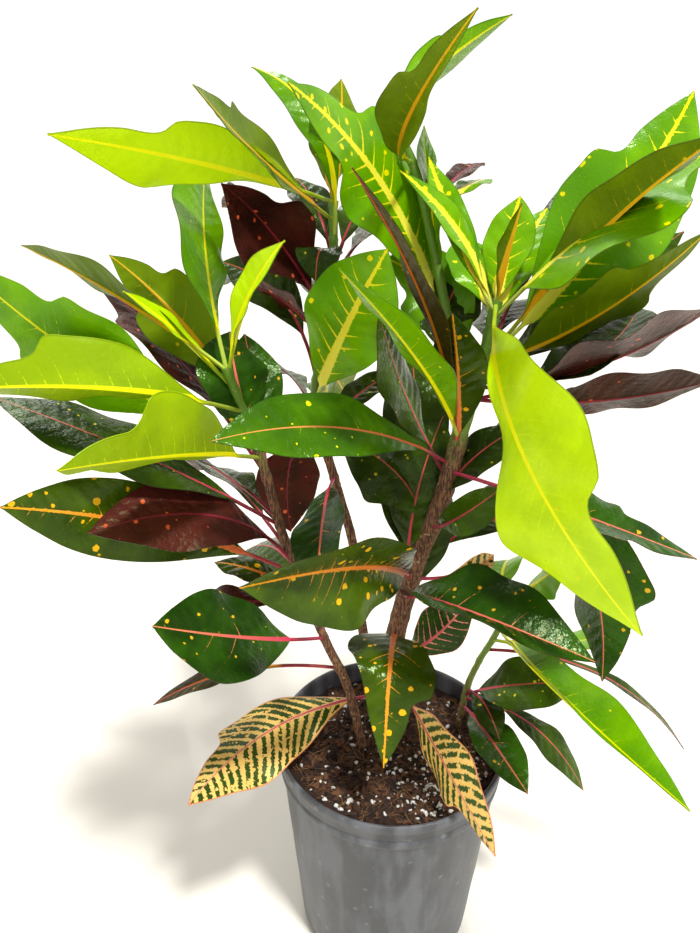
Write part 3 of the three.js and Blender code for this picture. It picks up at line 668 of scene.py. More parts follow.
MAROON_BACK = LeafSkin(
    "maroon_leaf_back", "#50201a", "#301410", "#a02840", "#7c2430", "#542c20", "#8c2c40", "#3c1c14",
    vein_half=0.25, vein_shown=0.4, vein_reach=0.8, spot="#d85c30", spot_share=0.65,
    spot_radius=1.6, gloss=0.3, wax=0.16, grain=0.2, grain_size=0.8, quilt=0.3,
)
BROWN_BACK = LeafSkin(
    "brown_leaf_back", "#4a3c0c", "#36280e", "#d8901c", "#c83c24", "#8a6414", "#8c3038", "#3c2c10",
    vein_half=0.35, vein_shown=0.3, vein_reach=0.7, spot="#b8881c", spot_share=0.2, gloss=0.38,
    wax=0.18, grain=0.14, quilt=0.3,
)
FEATHER_FACE = LeafSkin(
    "pink_feathered_cuticle", "#22400a", "#183010", "#c84058", "#d87868", "#e08878", "#b03450",
    "#c86860", vein_half=0.9, vein_half_tip=0.7, vein_shown=0.95, vein_reach=1.2, vein_gap=6.0,
    ragged=0.4, gloss=0.3,
)
STRIPED_FACE = LeafSkin(
    "striped_cuticle", "#37501a", "#22380c", "#cc4664", "#e48c78", "#f0c66c", "#c03a5c", "#dd6a5a",
    vein_half=1.6, vein_half_tip=2.3, vein_varies=0.25, vein_reach=6.0, vein_gap=7.4, ragged=0.9,
    breaks=1.0, halo=1.0, margin=1.6, rim_width=0.5, gloss=0.32, grain=0.14,
)
STRIPED_BACK = LeafSkin(
    "striped_leaf_back", "#6a6030", "#585024", "#c0485c", "#d07868", "#d8b464", "#b04058",
    "#c06850", vein_half=1.6, vein_half_tip=2.3, vein_varies=0.25, vein_reach=6.0, vein_gap=7.4,
    ragged=0.9, breaks=1.0, halo=1.0, margin=1.6, gloss=0.45,
)

# The face and the back of each coat.
COAT_SKINS: dict[Coat, tuple[LeafSkin, LeafSkin]] = {
    Coat.LIME: (LIME_FACE_AND_PAINTED_GLOW, LIME_BACK),
    Coat.YOUNG: (YOUNG_FACE, LIME_BACK),
    Coat.GREEN: (GREEN_FACE, OLIVE_BACK),
    Coat.VEINED: (VEINED_FACE, OLIVE_BACK),
    Coat.SPOTTED: (SPOTTED_FACE, MAROON_BACK),
    Coat.DARK: (DARK_FACE, MAROON_BACK),
    Coat.RIBBED: (RIBBED_FACE, MAROON_BACK),
    Coat.GOLD: (GOLD_FACE, BROWN_BACK),
    Coat.FEATHER: (FEATHER_FACE, MAROON_BACK),
    Coat.STRIPED: (STRIPED_FACE, STRIPED_BACK),
}
# Half width of the midrib at the blade's foot, in millimetres.
RIB_HALF: dict[Coat, float] = {
    Coat.LIME: 2.1, Coat.YOUNG: 1.6, Coat.GREEN: 1.8, Coat.VEINED: 3.2, Coat.SPOTTED: 0.9,
    Coat.DARK: 0.9, Coat.RIBBED: 1.5, Coat.GOLD: 2.0, Coat.FEATHER: 1.4, Coat.STRIPED: 1.2,
}
# Depth of the pucker between two side veins, in millimetres.
PUCKER: dict[Coat, float] = {
    Coat.LIME: 0.35, Coat.YOUNG: 0.3, Coat.GREEN: 0.45, Coat.VEINED: 0.45, Coat.SPOTTED: 0.6,
    Coat.DARK: 0.65, Coat.RIBBED: 0.7, Coat.GOLD: 0.7, Coat.FEATHER: 0.4, Coat.STRIPED: 0.3,
}


def unit(vectors: np.ndarray) -> np.ndarray:
    """Scales each vector to a length of one."""
    return vectors / np.linalg.norm(vectors, axis=-1, keepdims=True)


def turns(count: int) -> np.ndarray:
    """Angles of evenly spaced points round a circle."""
    return 2 * math.pi * np.arange(count) / count


def outline_share(outline: Outline, places: np.ndarray) -> np.ndarray:
    """Share of the half width on a smooth curve through the outline's points.

    Args:
        outline: Which half outline.
        places: Shares of the way along the blade.

    Returns:
        The share at each place.
    """
    xs, ys = np.array(OUTLINE_POINTS[outline], float).T
    before = np.clip(np.arange(len(xs)) - 1, 0, None)
    after = np.clip(np.arange(len(xs)) + 1, None, len(xs) - 1)
    slopes = (ys[after] - ys[before]) / (xs[after] - xs[before])
    i = np.clip(np.searchsorted(xs, places) - 1, 0, len(xs) - 2)
    span = xs[i + 1] - xs[i]
    t = (places - xs[i]) / span
    share = (
        (2 * t**3 - 3 * t**2 + 1) * ys[i]
        + (t**3 - 2 * t**2 + t) * span * slopes[i]
        + (3 * t**2 - 2 * t**3) * ys[i + 1]
        + (t**3 - t**2) * span * slopes[i + 1]
    )
    return np.clip(share, 0, None)


@dataclass(frozen=True)
class Stem:
    """A stem along a smooth curve through its points, thinner towards its top."""

    path: list[Point]
    start_radius: float
    end_radius: float

    def point(self, place: float) -> np.ndarray:
        """Point at a share of the way, on a cubic through the path.

        Args:
            place: Share of the way, 0 to 1.

        Returns:
            The point in millimetres.
        """
        points = np.array(self.path, float)
        count = len(points) - 1
        i = min(int(place * count), count - 1)
        t = place * count - i
        first, second = points[i], points[i + 1]
        before = points[i - 1] if i else 2 * first - second
        after = points[i + 2] if i + 2 <= count else 2 * second - first
        return 0.5 * (
            2 * first
            + (second - before) * t
            + (2 * before - 5 * first + 4 * second - after) * t**2
            + (3 * first - before - 3 * second + after) * t**3
        )

    def radius(self, place: float) -> float:
        """Radius at a share of the way, in millimetres."""
        return self.start_radius + (self.end_radius - self.start_radius) * place

    def outwards(self, place: float, sides: int) -> np.ndarray:
        """Directions that point out of the stem, evenly round it.

        Args:
            place: Share of the way, 0 to 1.
            sides: How many directions.

        Returns:
            Unit vectors, square to the stem.
        """
        step = 1e-4
        along = unit(self.point(min(1, place + step)) - self.point(max(0, place - step)))
        side = unit(np.cross([0, 1, 0], along))
        front = np.cross(along, side)
        angles = turns(sides)
        return np.cos(angles)[:, None] * side + np.sin(angles)[:, None] * front

    def place_at(self, height: float) -> float:
        """Share of the way at which the stem reaches a height, found by halving.

        Args:
            height: Height in millimetres.

        Returns:
            The share of the way.
        """
        low, high = 0.0, 1.0
        halvings = 40
        for _ in range(halvings):
            middle = (low + high) / 2
            if self.point(middle)[2] < height:
                low = middle
            else:
                high = middle
        return (low + high) / 2


STEMS: dict[str, Stem] = {name: Stem(*row) for name, row in STEM_PATHS.items()}


@dataclass
class Surface:
    """Points, faces and what the materials read, gathered before a mesh is made."""

    points: list[np.ndarray] = field(default_factory=list)
    faces: list[tuple[int, ...]] = field(default_factory=list)
    slots: list[int] = field(default_factory=list)
    blade: list[np.ndarray] = field(default_factory=list)
    vein: list[np.ndarray] = field(default_factory=list)
    count: int = 0
    sharp_angle: float = 55.0

    def add_rings(
        self,
        rings: np.ndarray,
        slots: np.ndarray | None = None,
        blade: np.ndarray | None = None,
        vein: np.ndarray | None = None,
    ) -> None:
        """Adds a closed skin over rings of points, with both ends capped.

        Args:
            rings: Points in millimetres, ring by ring.
            slots: Material slot of each face of a ring, or none where all are the first.
            blade: What the attribute "blade" holds, for each point.
            vein: What the attribute "vein" holds, for each point.
        """
        many, size = rings.shape[:2]
        start = self.count
        blank = np.zeros((many * size, 3))
        self.points.append(rings.reshape(-1, 3) * MM)
        self.blade.append(blank if blade is None else blade.reshape(-1, 3))
        self.vein.append(blank if vein is None else vein.reshape(-1, 3))
        ring_slots = [0] * size if slots is None else [int(slot) for slot in slots]
        for i in range(many - 1):
            row = start + i * size
            for k in range(size):
                after = (k + 1) % size
                self.faces.append((row + k, row + after, row + size + after, row + size + k))
            self.slots += ring_slots
        last = start + (many - 1) * size
        self.faces.append(tuple(range(start + size - 1, start - 1, -1)))
        self.faces.append(tuple(range(last, last + size)))
        self.slots += [ring_slots[0]] * 2
        self.count += many * size

    def to_object(
        self, name: str, materials: tuple[bpy.types.Material, ...] = ()
    ) -> bpy.types.Object:
        """Makes one mesh object of everything gathered.

        Args:
            name: Name of the object.
            materials: Its material slots.

        Returns:
            The object, smooth apart from its sharp rims.
        """
        mesh = bpy.data.meshes.new(name)
        mesh.from_pydata(np.concatenate(self.points).tolist(), [], self.faces)
        for material in materials:
            mesh.materials.append(material)
        mesh.polygons.foreach_set("material_index", self.slots)
        for label, values in (("blade", self.blade), ("vein", self.vein)):
            attribute = mesh.attributes.new(label, "FLOAT_VECTOR", "POINT")
            attribute.data.foreach_set("vector", np.concatenate(values).astype(np.float32).ravel())
        mesh.shade_smooth()
        mesh.set_sharp_from_angle(angle=math.radians(self.sharp_angle))
        mesh.validate()
        return link_object(name, mesh)


def link_object(name: str, data: bpy.types.ID) -> bpy.types.Object:
    """Puts a mesh, light or camera in the scene.

    Args:
        name: Name of its object.
        data: The mesh, light or camera.

    Returns:
        The object.
    """
    made = bpy.data.objects.new(name, data)
    bpy.context.scene.collection.objects.link(made)
    return made


def mesh_of(bm: bmesh.types.BMesh, name: str) -> bpy.types.Mesh:
    """Turns what was built in a bmesh into a mesh.

    Args:
        bm: The bmesh, which is freed.
        name: Name of the mesh.

    Returns:
        The mesh.
    """
    mesh = bpy.data.meshes.new(name)
    bm.to_mesh(mesh)
    bm.free()
    return mesh


@dataclass(frozen=True)
class Midrib:
    """A leaf's midrib, with an entry in every field for each step from root to tip."""

    centre: np.ndarray  # point on the midrib, in millimetres
    side: np.ndarray  # direction across the leaf
    normal: np.ndarray  # direction out of its face
    share: np.ndarray  # share of the way along the blade, below zero on the stalk
    u: np.ndarray  # the same, but zero on the stalk
    fold: np.ndarray  # angle of each half above the flat, in radians
    bladed: np.ndarray  # how far the round stalk has become a thin blade
    rib_half: np.ndarray  # half width of the raised rib
    rib_depth: np.ndarray  # how far the rib stands out of the back
    reach: np.ndarray  # length from the blade's foot


@dataclass(frozen=True)
class Leaf:
    """One leaf. Its midrib runs from its root on a stem to its tip, and carries the blade."""

    height: float
    tip: Point
    width: float
    rise: float
    bend: float
    turn: float
    petiole: float
    fold: float
    left: Outline
    right: Outline
    coat: Coat
    rolled: bool = False
    # What all leaves share: sizes in millimetres, shares, and counts of steps.
    petiole_half: float = 1.2
    petiole_thick: float = 2.2
    tip_half: float = 0.45
    thick: float = 0.6
    rim_thinner: float = 0.35
    fold_opens: float = 0.35
    edge_curl: float = 0.12
    wave_depth: float = 0.045
    wave_count: float = 2.6
    blade_start: float = 0.1
    rib_depth: float = 0.9
    rib_tapers: float = 0.85
    rib_on_face: float = 0.25
    rib_most: float = 0.35
    vein_slant: float = 0.5
    vein_curve: float = 0.3
    vein_drift: float = 1.2
    pucker_from_rib: float = 3.0
    drift_step: float = 0.11
    wave_step: float = 1.7
    right_wave: float = 2.1
    right_vein: float = 100.5
    stalk_steps: int = 7
    blade_steps: int = 84
    edge_steps: int = 7

    @classmethod
    def from_row(cls, row: tuple) -> "Leaf":
        """Reads a leaf from its row of the table."""
        numbers, (left, right, coat, *rolled) = row[:8], row[8:]
        return cls(*numbers, Outline(left), Outline(right), Coat(coat), bool(rolled))

    def skins(self) -> tuple[LeafSkin, LeafSkin]:
        """Skins of the upper and the lower side, which a rolled leaf has turned over."""
        face, back = COAT_SKINS[self.coat]
        return (back, face) if self.rolled else (face, back)

    def build(self, surface: Surface, stem: Stem, number: int, slots: list[int]) -> None:
        """Adds the leaf to a surface: a ring of face and back points at each step of the midrib.

        Args:
            surface: What the leaf is added to.
            stem: The stem that it grows on.
            number: The leaf's number in its node, which sets its waves.
            slots: Material slots of the face and of the back.
        """
        rib = self._midrib(stem)
        left = self._half(rib, -1, self.left, number)
        right = self._half(rib, 1, self.right, number)
        middle = self._middle(rib, 0.5 * (left[4][:, :1] + right[4][:, :1]))
        beside, top, low, blade, vein = (
            np.concatenate([a[:, ::-1], b, c], 1) for a, b, c in zip(left, middle, right)
        )
        face = rib.centre[:, None] + beside + rib.normal[:, None] * top[:, :, None]
        back = rib.centre[:, None] + beside + rib.normal[:, None] * low[:, :, None]
        across = face.shape[1]
        per_face = np.repeat(slots, (across - 1, across + 1))
        blade, vein = (np.concatenate([both, both[:, ::-1]], 1) for both in (blade, vein))
        surface.add_rings(np.concatenate([face, back[:, ::-1]], 1), per_face, blade, vein)

    def _midrib(self, stem: Stem) -> Midrib:
        """Lays out the midrib on a parabola from its root to its tip.

        Args:
            stem: The stem that the leaf grows on.

        Returns:
            The midrib and what varies along it.
        """
        stalk = np.linspace(0, self.petiole, self.stalk_steps, endpoint=False)
        blade = self.petiole + (1 - self.petiole) * np.linspace(0, 1, self.blade_steps + 1)
        places = np.concatenate([stalk, blade])
        share = (places - self.petiole) / (1 - self.petiole)
        u = np.clip(share, 0, 1)

        root = stem.point(stem.place_at(self.height))
        tip = np.array(self.tip, float)
        chord = tip - root
        level = unit(np.array([chord[0], chord[1], 0]))
        across = np.cross(level, [0, 0, 1])
        over = np.cross(across, unit(chord))
        control = (root + tip) / 2 + over * 2 * self.rise + across * 2 * self.bend
        t = places[:, None]
        centre = (1 - t) ** 2 * root + 2 * t * (1 - t) * control + t**2 * tip
        along = unit(2 * (1 - t) * (control - root) + 2 * t * (tip - control))
        flat = unit(across - along * (along @ across)[:, None])
        upright = np.cross(flat, along)
        angle = np.radians(self.turn) * np.clip(t / self.petiole, 0, 1)
        length = np.concatenate([[0], np.cumsum(np.linalg.norm(np.diff(centre, axis=0), axis=1))])
        return Midrib(
            centre=centre,
            side=flat * np.cos(angle) - upright * np.sin(angle),
            normal=upright * np.cos(angle) + flat * np.sin(angle),
            share=share,
            u=u,
            fold=np.radians(self.fold) * (1 - self.fold_opens * u),
            bladed=np.clip(u / self.blade_start, 0, 1),
            rib_half=RIB_HALF[self.coat] * np.clip(1 - self.rib_tapers * u, 0.1, 1),
            rib_depth=self.rib_depth * np.clip(1.1 - u, 0.1, 1),
            reach=length - length[self.stalk_steps],
        )

    def _half(self, rib: Midrib, sign: int, outline: Outline, number: int) -> tuple:
        """Works out one half of the leaf, column by column from the midrib to the edge.

        Args:
            rib: The midrib.
            sign: -1 for the left half and 1 for the right half.
            outline: The half's outline.
            number: The leaf's number in its node.

        Returns:
            Steps sideways, heights of the face and of the back, and values of both attributes.
        """
        half = outline_share(outline, rib.u) * self.width / 2
        least = np.where(rib.u < 0.5, self.petiole_half, self.tip_half)
        out = np.maximum(least, half * np.cos(rib.fold))
        inner = np.minimum(rib.rib_half, self.rib_most * out)
        edge = np.linspace(0, 1, self.edge_steps + 1)[1:]
        columns = inner[:, None] + (out - inner)[:, None] * edge[None, :]
        offsets = np.concatenate([np.stack([0.5 * inner, inner], 1), columns], 1)
        v = offsets / out[:, None]
        slant = self.vein_slant * offsets + self.vein_curve * offsets * v
        drift = self.vein_drift * np.sin(self.drift_step * rib.reach + number)[:, None]
        gap = COAT_SKINS[self.coat][0].vein_gap
        first, shift = (0, 0) if sign < 0 else (self.right_vein, self.right_wave)
        veins = (rib.reach[:, None] - slant + drift) / gap + first
        lift = self._lift(rib, half, v, self.wave_step * number + shift)
        beyond_rib = np.clip(offsets - rib.rib_half[:, None], 0, self.pucker_from_rib)
        open_blade = (beyond_rib / self.pucker_from_rib) * (1 - v**4)
        pucker = -np.cos(2 * math.pi * veins) * open_blade * rib.bladed[:, None]
        lift = lift + 0.5 * PUCKER[self.coat] * pucker

        round_stalk = np.sqrt(np.clip(1 - v**2, 0, 1)) * self.petiole_thick / 2
        ridge = np.sqrt(np.clip(1 - (offsets / rib.rib_half[:, None]) ** 2, 0, 1))
        depth = rib.rib_depth[:, None]
        thin = 0.5 * self.thick * (1 - self.rim_thinner * v)
        mix = rib.bladed[:, None]
        along = np.broadcast_to(rib.share[:, None], v.shape)
        return (
            sign * offsets[:, :, None] * rib.side[:, None, :],
            lift + (1 - mix) * round_stalk + mix * (thin + self.rib_on_face * depth * ridge),
            lift - (1 - mix) * round_stalk - mix * (thin + depth * ridge),
            np.stack([along, offsets - rib.rib_half[:, None], out[:, None] - offsets], 2),
            np.stack([veins, v, np.full(v.shape, float(number))], 2),
        )

    def _lift(self, rib: Midrib, half: np.ndarray, v: np.ndarray, phase: float) -> np.ndarray:
        """Height of a half blade above the flat: its fold, the curl of its edge, and its waves.

        Args:
            rib: The midrib.
            half: Half width at each step.
            v: Share of the way from the midrib to the edge.
            phase: Where the waves start.

        Returns:
            The height in millimetres.
        """
        sway = np.sin(2 * math.pi * self.wave_count * rib.u + phase)
        ends = np.sin(math.pi * np.minimum(1, 1.05 * rib.u))
        wave = self.width * self.wave_depth * sway * ends
        lift = (half * np.sin(rib.fold))[:, None] * v - (self.edge_curl * half)[:, None] * v**2
        return lift + wave[:, None] * v**2

    def _middle(self, rib: Midrib, vein: np.ndarray) -> tuple:
        """Works out the column of points along the middle of the midrib.

        Args:
            rib: The midrib.
            vein: Values of the attribute "vein" along it.

        Returns:
            The same five arrays as of a half, one column wide.
        """
        stalk = (1 - rib.bladed) * self.petiole_thick / 2
        half_thick = 0.5 * self.thick
        top = stalk + rib.bladed * (half_thick + self.rib_on_face * rib.rib_depth)
        low = -stalk - rib.bladed * (half_thick + rib.rib_depth)
        far = np.full(len(rib.u), 9.0)
        blade = np.stack([rib.share, -rib.rib_half, far], 1)[:, None, :]
        return np.zeros((len(rib.u), 1, 3)), top[:, None], low[:, None], blade, vein


@dataclass
class Shoot:
    """A stretch of stem with the leaves that grow on it, as one piece."""

    node: str
    slot: str
    stem_sides: int = 18
    stem_step: float = 1.6
    joint_swell: float = 0.35
    joint_reach: float = 1.6
    knobs: float = 0.3
    knobs_per_mm: float = 0.18

    def build(self) -> bpy.types.Object:
        """Builds the stretch of stem and its leaves.

        Returns:
            The finished piece, riding on the body in place of its node.
        """
        surface = Surface()
        materials = [STEM_BARKS.get(self.node, STEM_BARK).material()]
        leaves = [Leaf.from_row(row) for row in LEAF_ROWS.get(self.node, [])]
        stretches = NODE_STEMS[self.node]
        for name, low, high in stretches:
            self._stem(surface, STEMS[name], low, high, [leaf.height for leaf in leaves])
        stem = STEMS[stretches[0][0]]
        for number, leaf in enumerate(leaves):
            wanted = [skin.material() for skin in leaf.skins()]
            materials += [material for material in wanted if material not in materials]
            leaf.build(surface, stem, number, [materials.index(material) for material in wanted])
        piece = surface.to_object(f"{self.node}_growth", tuple(materials))
        return place_piece(piece, self.slot, self.node)

    def _stem(
        self, surface: Surface, stem: Stem, low: float, high: float, joints: list[float]
    ) -> None:
        """Adds a stretch of stem, a little thicker where each leaf grows.

        Args:
            surface: What it is added to.
            stem: The stem.
            low: Height of its lower end, in millimetres.
            high: Height of its upper end.
            joints: Heights of the leaves' roots.
        """
        steps = max(4, round((high - low) / self.stem_step))
        start, end = stem.place_at(low), stem.place_at(high)
        rings = []
        for i in range(steps + 1):
            place = start + (end - start) * i / steps
            centre = stem.point(place)
            ring = stem.outwards(place, self.stem_sides)
            swell = sum(math.exp(-(((centre[2] - h) / self.joint_reach) ** 2)) for h in joints)
            radius = stem.radius(place) + self.joint_swell * min(1, swell)
            knobs = [noise.noise(Vector((centre + 4 * r) * self.knobs_per_mm)) for r in ring]
            rings.append(centre + ring * (radius + self.knobs * np.array(knobs))[:, None])
        surface.add_rings(np.array(rings))


def place_piece(piece: bpy.types.Object, slot: str, *nodes: str) -> bpy.types.Object:
    """Lets a finished piece ride on the body, in place of the nodes that it shows.

    Args:
        piece: The finished object, at the origin.
        slot: The record's material slot; not used.
        *nodes: The nodes that it stands for.

    Returns:
        The piece.
    """
    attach(piece, BODY)
    if nodes:
        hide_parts(*nodes)
    LOG.info("%s: %d faces", piece.name, len(piece.data.polygons))
    return piece


@dataclass(frozen=True)
class StemBark(Finish):
    """Croton bark: green when young, and grey-brown, finely cracked and corky lower down."""

    brown: str
    dark: str
    green: str
    green_from: float
    green_to: float
    pore: str = "#b8a07c"
    cracks_per_mm: float = 1.1
    patches_per_mm: float = 0.12
    pores_per_mm: float = 0.32
    uneven_start: float = 50.0

    def shader(self, bench: Bench) -> Socket:
        """Builds the bark.

        Args:
            bench: The material's nodes.

        Returns:
            The surface shader.
        """
        add = bench.add
        where = add(PLACE, out="Object")
        height = add(SPLIT, {0: where}, 2)
        # Cracks run lengthwise, so the noise is drawn out sixfold along the stem.
        drawn = add("ShaderNodeMapping", {"Vector": where, "Scale": (1.0, 1.0, 0.16)})
        cracks = add(NOISE, {0: drawn, "Scale": self.cracks_per_mm / MM, "Detail": 3.0})
        patches = add(NOISE, {0: where, "Scale": self.patches_per_mm / MM, "Detail": 2.0})
        dark = add(RANGE, {0: cracks, 1: 0.42, 2: 0.62}, **SMOOTH)
        brown = add(MIX, {0: dark, 6: linear(self.dark), 7: linear(self.brown)}, 2, **COLOURS)
        shift = self.uneven_start * MM
        uneven = add(MATH, {0: patches, 1: shift, 2: -0.5 * shift}, operation="MULTIPLY_ADD")
        moved = add(MATH, {0: height, 1: uneven}, operation="ADD")
        young = add(RANGE, {0: moved, 1: self.green_from * MM, 2: self.green_to * MM}, **SMOOTH)
        colour = add(MIX, {0: young, 6: brown, 7: linear(self.green)}, 2, **COLOURS)
        # Corky pores, pale and about a millimetre across.
        pores = add(CELLS, {0: where, "Scale": self.pores_per_mm / MM}, "Distance")
        pore = add(RANGE, {0: pores, 1: 0.2, 2: 0.12})
        pore = add(MATH, {0: pore, 1: 0.45}, operation="MULTIPLY")
        colour = add(MIX, {0: pore, 6: colour, 7: linear(self.pore)}, 2, **COLOURS)
        rough = add(RANGE, {0: young, 3: 0.8, 4: 0.42})
        normal = add(BUMP, {"Strength": 0.7, "Distance": 0.4 * MM, "Height": cracks})
        return add(SHADER, {"Base Color": colour, "Roughness": rough, "Normal": normal})


STEM_BARK = StemBark("croton_bark", "#8c6240", "#482e20", "#5e861c", 385, 430)
SHOOT_BARK = StemBark("young_croton_bark", "#8a683c", "#54402a", "#76983a", 150, 240)
STEM_BARKS: dict[str, StemBark] = {
    "sapling_dark": SHOOT_BARK, "sapling_green": SHOOT_BARK, "striped_leaves": SHOOT_BARK,
}


@dataclass(frozen=True)
class PotPlastic(Finish):
    """Grey-black recycled polypropylene: satin, dusty, scuffed, with dried water marks."""

    name: str = "black_polypropylene"
    dark: str = "#3f4145"
    dusty: str = "#63656a"
    mark: str = "#8c8a84"
    streak_size: float = 12.5
    specks_per_mm: float = 0.9
    splashes_per_mm: float = 0.07
    grain_per_mm: float = 1.5

    def shader(self, bench: Bench) -> Socket:
        """Builds the plastic.

        Args:
            bench: The material's nodes.

        Returns:
            The surface shader.
        """
        add = bench.add
        where = add(PLACE, out="Object")
        # Dust lies in streaks that run down the wall, four times as long as they are wide.
        drawn = add("ShaderNodeMapping", {"Vector": where, "Scale": (1.0, 1.0, 0.25)})
        streaks = add(NOISE, {0: drawn, "Scale": 1 / (self.streak_size * MM), "Detail": 5.0})
        dust = add(RANGE, {0: streaks, 1: 0.38, 2: 0.68}, **SMOOTH)
        colour = add(MIX, {0: dust, 6: linear(self.dark), 7: linear(self.dusty)}, 2, **COLOURS)
        # Specks of dirt, and splashes that dried to pale rings.
        specks = add(NOISE, {0: where, "Scale": self.specks_per_mm / MM, "Detail": 1.0})
        speck = add(RANGE, {0: specks, 1: 0.72, 2: 0.78, 4: 0.6})
        splashes = add(CELLS, {0: where, "Scale": self.splashes_per_mm / MM}, "Distance")
        splash = add(RANGE, {0: splashes, 1: 0.16, 2: 0.1, 4: 0.35})
        for mask in (speck, splash):
            colour = add(MIX, {0: mask, 6: colour, 7: linear(self.mark)}, 2, **COLOURS)
        rough = add(RANGE, {0: streaks, 1: 0.35, 2: 0.7, 3: 0.38, 4: 0.6})
        fine = add(NOISE, {0: where, "Scale": self.grain_per_mm / MM, "Detail": 1.0})
        normal = add(BUMP, {"Strength": 0.5, "Distance": 0.12 * MM, "Height": fine})
        return add(SHADER, {"Base Color": colour, "Roughness": rough, "Normal": normal})


@dataclass(frozen=True)
class Litter(Finish):
    """Loose matter of the potting mix: matt, two shades mixed by noise, with a fine grain."""

    shade: str
    light: str
    patch: float
    rough: float
    bump: float
    grain_per_mm: float = 1.8

    def shader(self, bench: Bench) -> Socket:
        """Builds the matter.

        Args:
            bench: The material's nodes.

        Returns:
            The surface shader.
        """
        add = bench.add
        where = add(PLACE, out="Object")
        mottle = add(NOISE, {0: where, "Scale": 1 / (self.patch * MM), "Detail": 4.0})
        mix = add(RANGE, {0: mottle, 1: 0.35, 2: 0.65}, **SMOOTH)
        colour = add(MIX, {0: mix, 6: linear(self.shade), 7: linear(self.light)}, 2, **COLOURS)
        fine = add(NOISE, {0: where, "Scale": self.grain_per_mm / MM, "Detail": 3.0})
        relief = {"Strength": 1.0, "Distance": self.bump * MM, "Height": fine}
        normal = add(BUMP, relief)
        return add(SHADER, {"Base Color": colour, "Roughness": self.rough, "Normal": normal})


PEAT = Litter("damp_peat", "#1c110c", "#3c2618", 5.0, 0.95, 0.8)
BARK_CHIP = Litter("composted_bark", "#2c1a10", "#6a4428", 9.0, 0.85, 0.4)
FIBRE = Litter("coir_fibre", "#5c3c22", "#9a7448", 12.0, 0.8, 0.1)
PERLITE = Litter("expanded_perlite", "#dcdad2", "#f6f5f1", 2.5, 0.9, 0.35)
SCAR_CORK = Litter("leaf_scar_cork", "#6e5236", "#b09670", 2.0, 0.8, 0.2)


@dataclass
class NurseryPot:
    """Blow-moulded nursery pot: tapered wall, banded rim with a rolled lip, six drain holes."""

    finish: PotPlastic
    # Radius and height from the outside of the base, up the wall, over the lip and down inside.
    profile: Profile = (
        (61.5, 0), (63.6, 0.5), (64.9, 1.8), (65.8, 4), (78.6, 150), (79.6, 150.4), (80.4, 151),
        (80.6, 152), (80.8, 156), (80.5, 156.4), (80.2, 157), (80.2, 158.2), (80.6, 158.8),
        (81, 159.2), (81.1, 164.6), (81.6, 165), (82.1, 165.8), (82.4, 166.8), (82.5, 168),
        (82.4, 170), (82.2, 171), (81.7, 171.7), (80.9, 172), (80, 171.8), (79.3, 171), (78.9, 168),
        (78.8, 165), (78.5, 152), (77.8, 149.5), (77, 148), (63.3, 4.6), (62.6, 3.2), (61.5, 2.6),
    )
    centre_radius: float = 0.4
    level_step: float = 12.0
    sides: int = 144
    seams: tuple[float, ...] = (-100, -67, 80, 113)
    seam_height: float = 0.22
    seam_width: float = 0.7
    ripple: float = 0.12
    ripple_turn: float = 0.9
    # A level is on the outside where its radius is beyond this cone.
    outside_foot: float = 64.5
    outside_grows: float = 13.4
    outside_rise: float = 151.0
    seam_from: float = 4.0
    seam_to: float = 171.0
    drain_holes: int = 6
    drain_radius: float = 6.0
    drain_circle: float = 46.0
    drain_sides: int = 32

    def build(self) -> bpy.types.Object:
        """Builds the pot.

        Returns:
            The finished pot.
        """
        surface = Surface()
        surface.add_rings(np.array([self._ring(*level) for level in self._levels()]))
        pot = surface.to_object("pot_shell", (self.finish.material(),))
        self._drain(pot)
        return place_piece(pot, "pot_plastic", "pot")

    def _levels(self) -> list[tuple[float, float]]:
        """Profile with the long walls cut into steps.

        Returns:
            Radius and height at each level, from the middle of the base to that of the floor.
        """
        levels = [(self.centre_radius, self.profile[0][1])]
        for (r0, z0), (r1, z1) in zip(self.profile, self.profile[1:]):
            steps = max(1, round(abs(z1 - z0) / self.level_step))
            for i in range(steps):
                share = i / steps
                levels.append((r0 + (r1 - r0) * share, z0 + (z1 - z0) * share))
        return levels + [self.profile[-1], (self.centre_radius, self.profile[-1][1])]

    def _ring(self, radius: float, height: float) -> np.ndarray:
        """One level of the wall, with the mould's faint seams and ripples on its outside.

        Args:
            radius: Radius in millimetres.
            height: Height in millimetres.

        Returns:
            Points of the level.
        """
        angles = turns(self.sides)
        wall = self.outside_foot + self.outside_grows * height / self.outside_rise
        grown = np.zeros(self.sides)
        if radius > wall and self.seam_from < height < self.seam_to:
            for seam in self.seams:
                apart = (np.degrees(angles) - seam + 180) % 360 - 180
                grown += self.seam_height * np.exp(-((apart / self.seam_width) ** 2))
            radius += self.ripple * math.sin(self.ripple_turn * height)
        around = radius + grown
        return np.stack([around * np.cos(angles), around * np.sin(angles), angles * 0 + height], 1)

    def _drain(self, pot: bpy.types.Object) -> None:
        """Cuts the drain holes through the floor.

        Args:
            pot: The pot.
        """
        cutter = Surface()
        round_hole = turns(self.drain_sides)
        for i in range(self.drain_holes):
            angle = 2 * math.pi * (i + 0.5) / self.drain_holes
            x = self.drain_circle * math.cos(angle) + self.drain_radius * np.cos(round_hole)
            y = self.drain_circle * math.sin(angle) + self.drain_radius * np.sin(round_hole)
            cutter.add_rings(np.array([np.stack([x, y, x * 0 + z], 1) for z in (-5, 5)]))
        tool = cutter.to_object("drain_cutter")
        cut = pot.modifiers.new("drain", "BOOLEAN")
        cut.operation, cut.solver, cut.object = "DIFFERENCE", "EXACT", tool
        bake_modifiers(pot)
        bpy.data.objects.remove(tool)


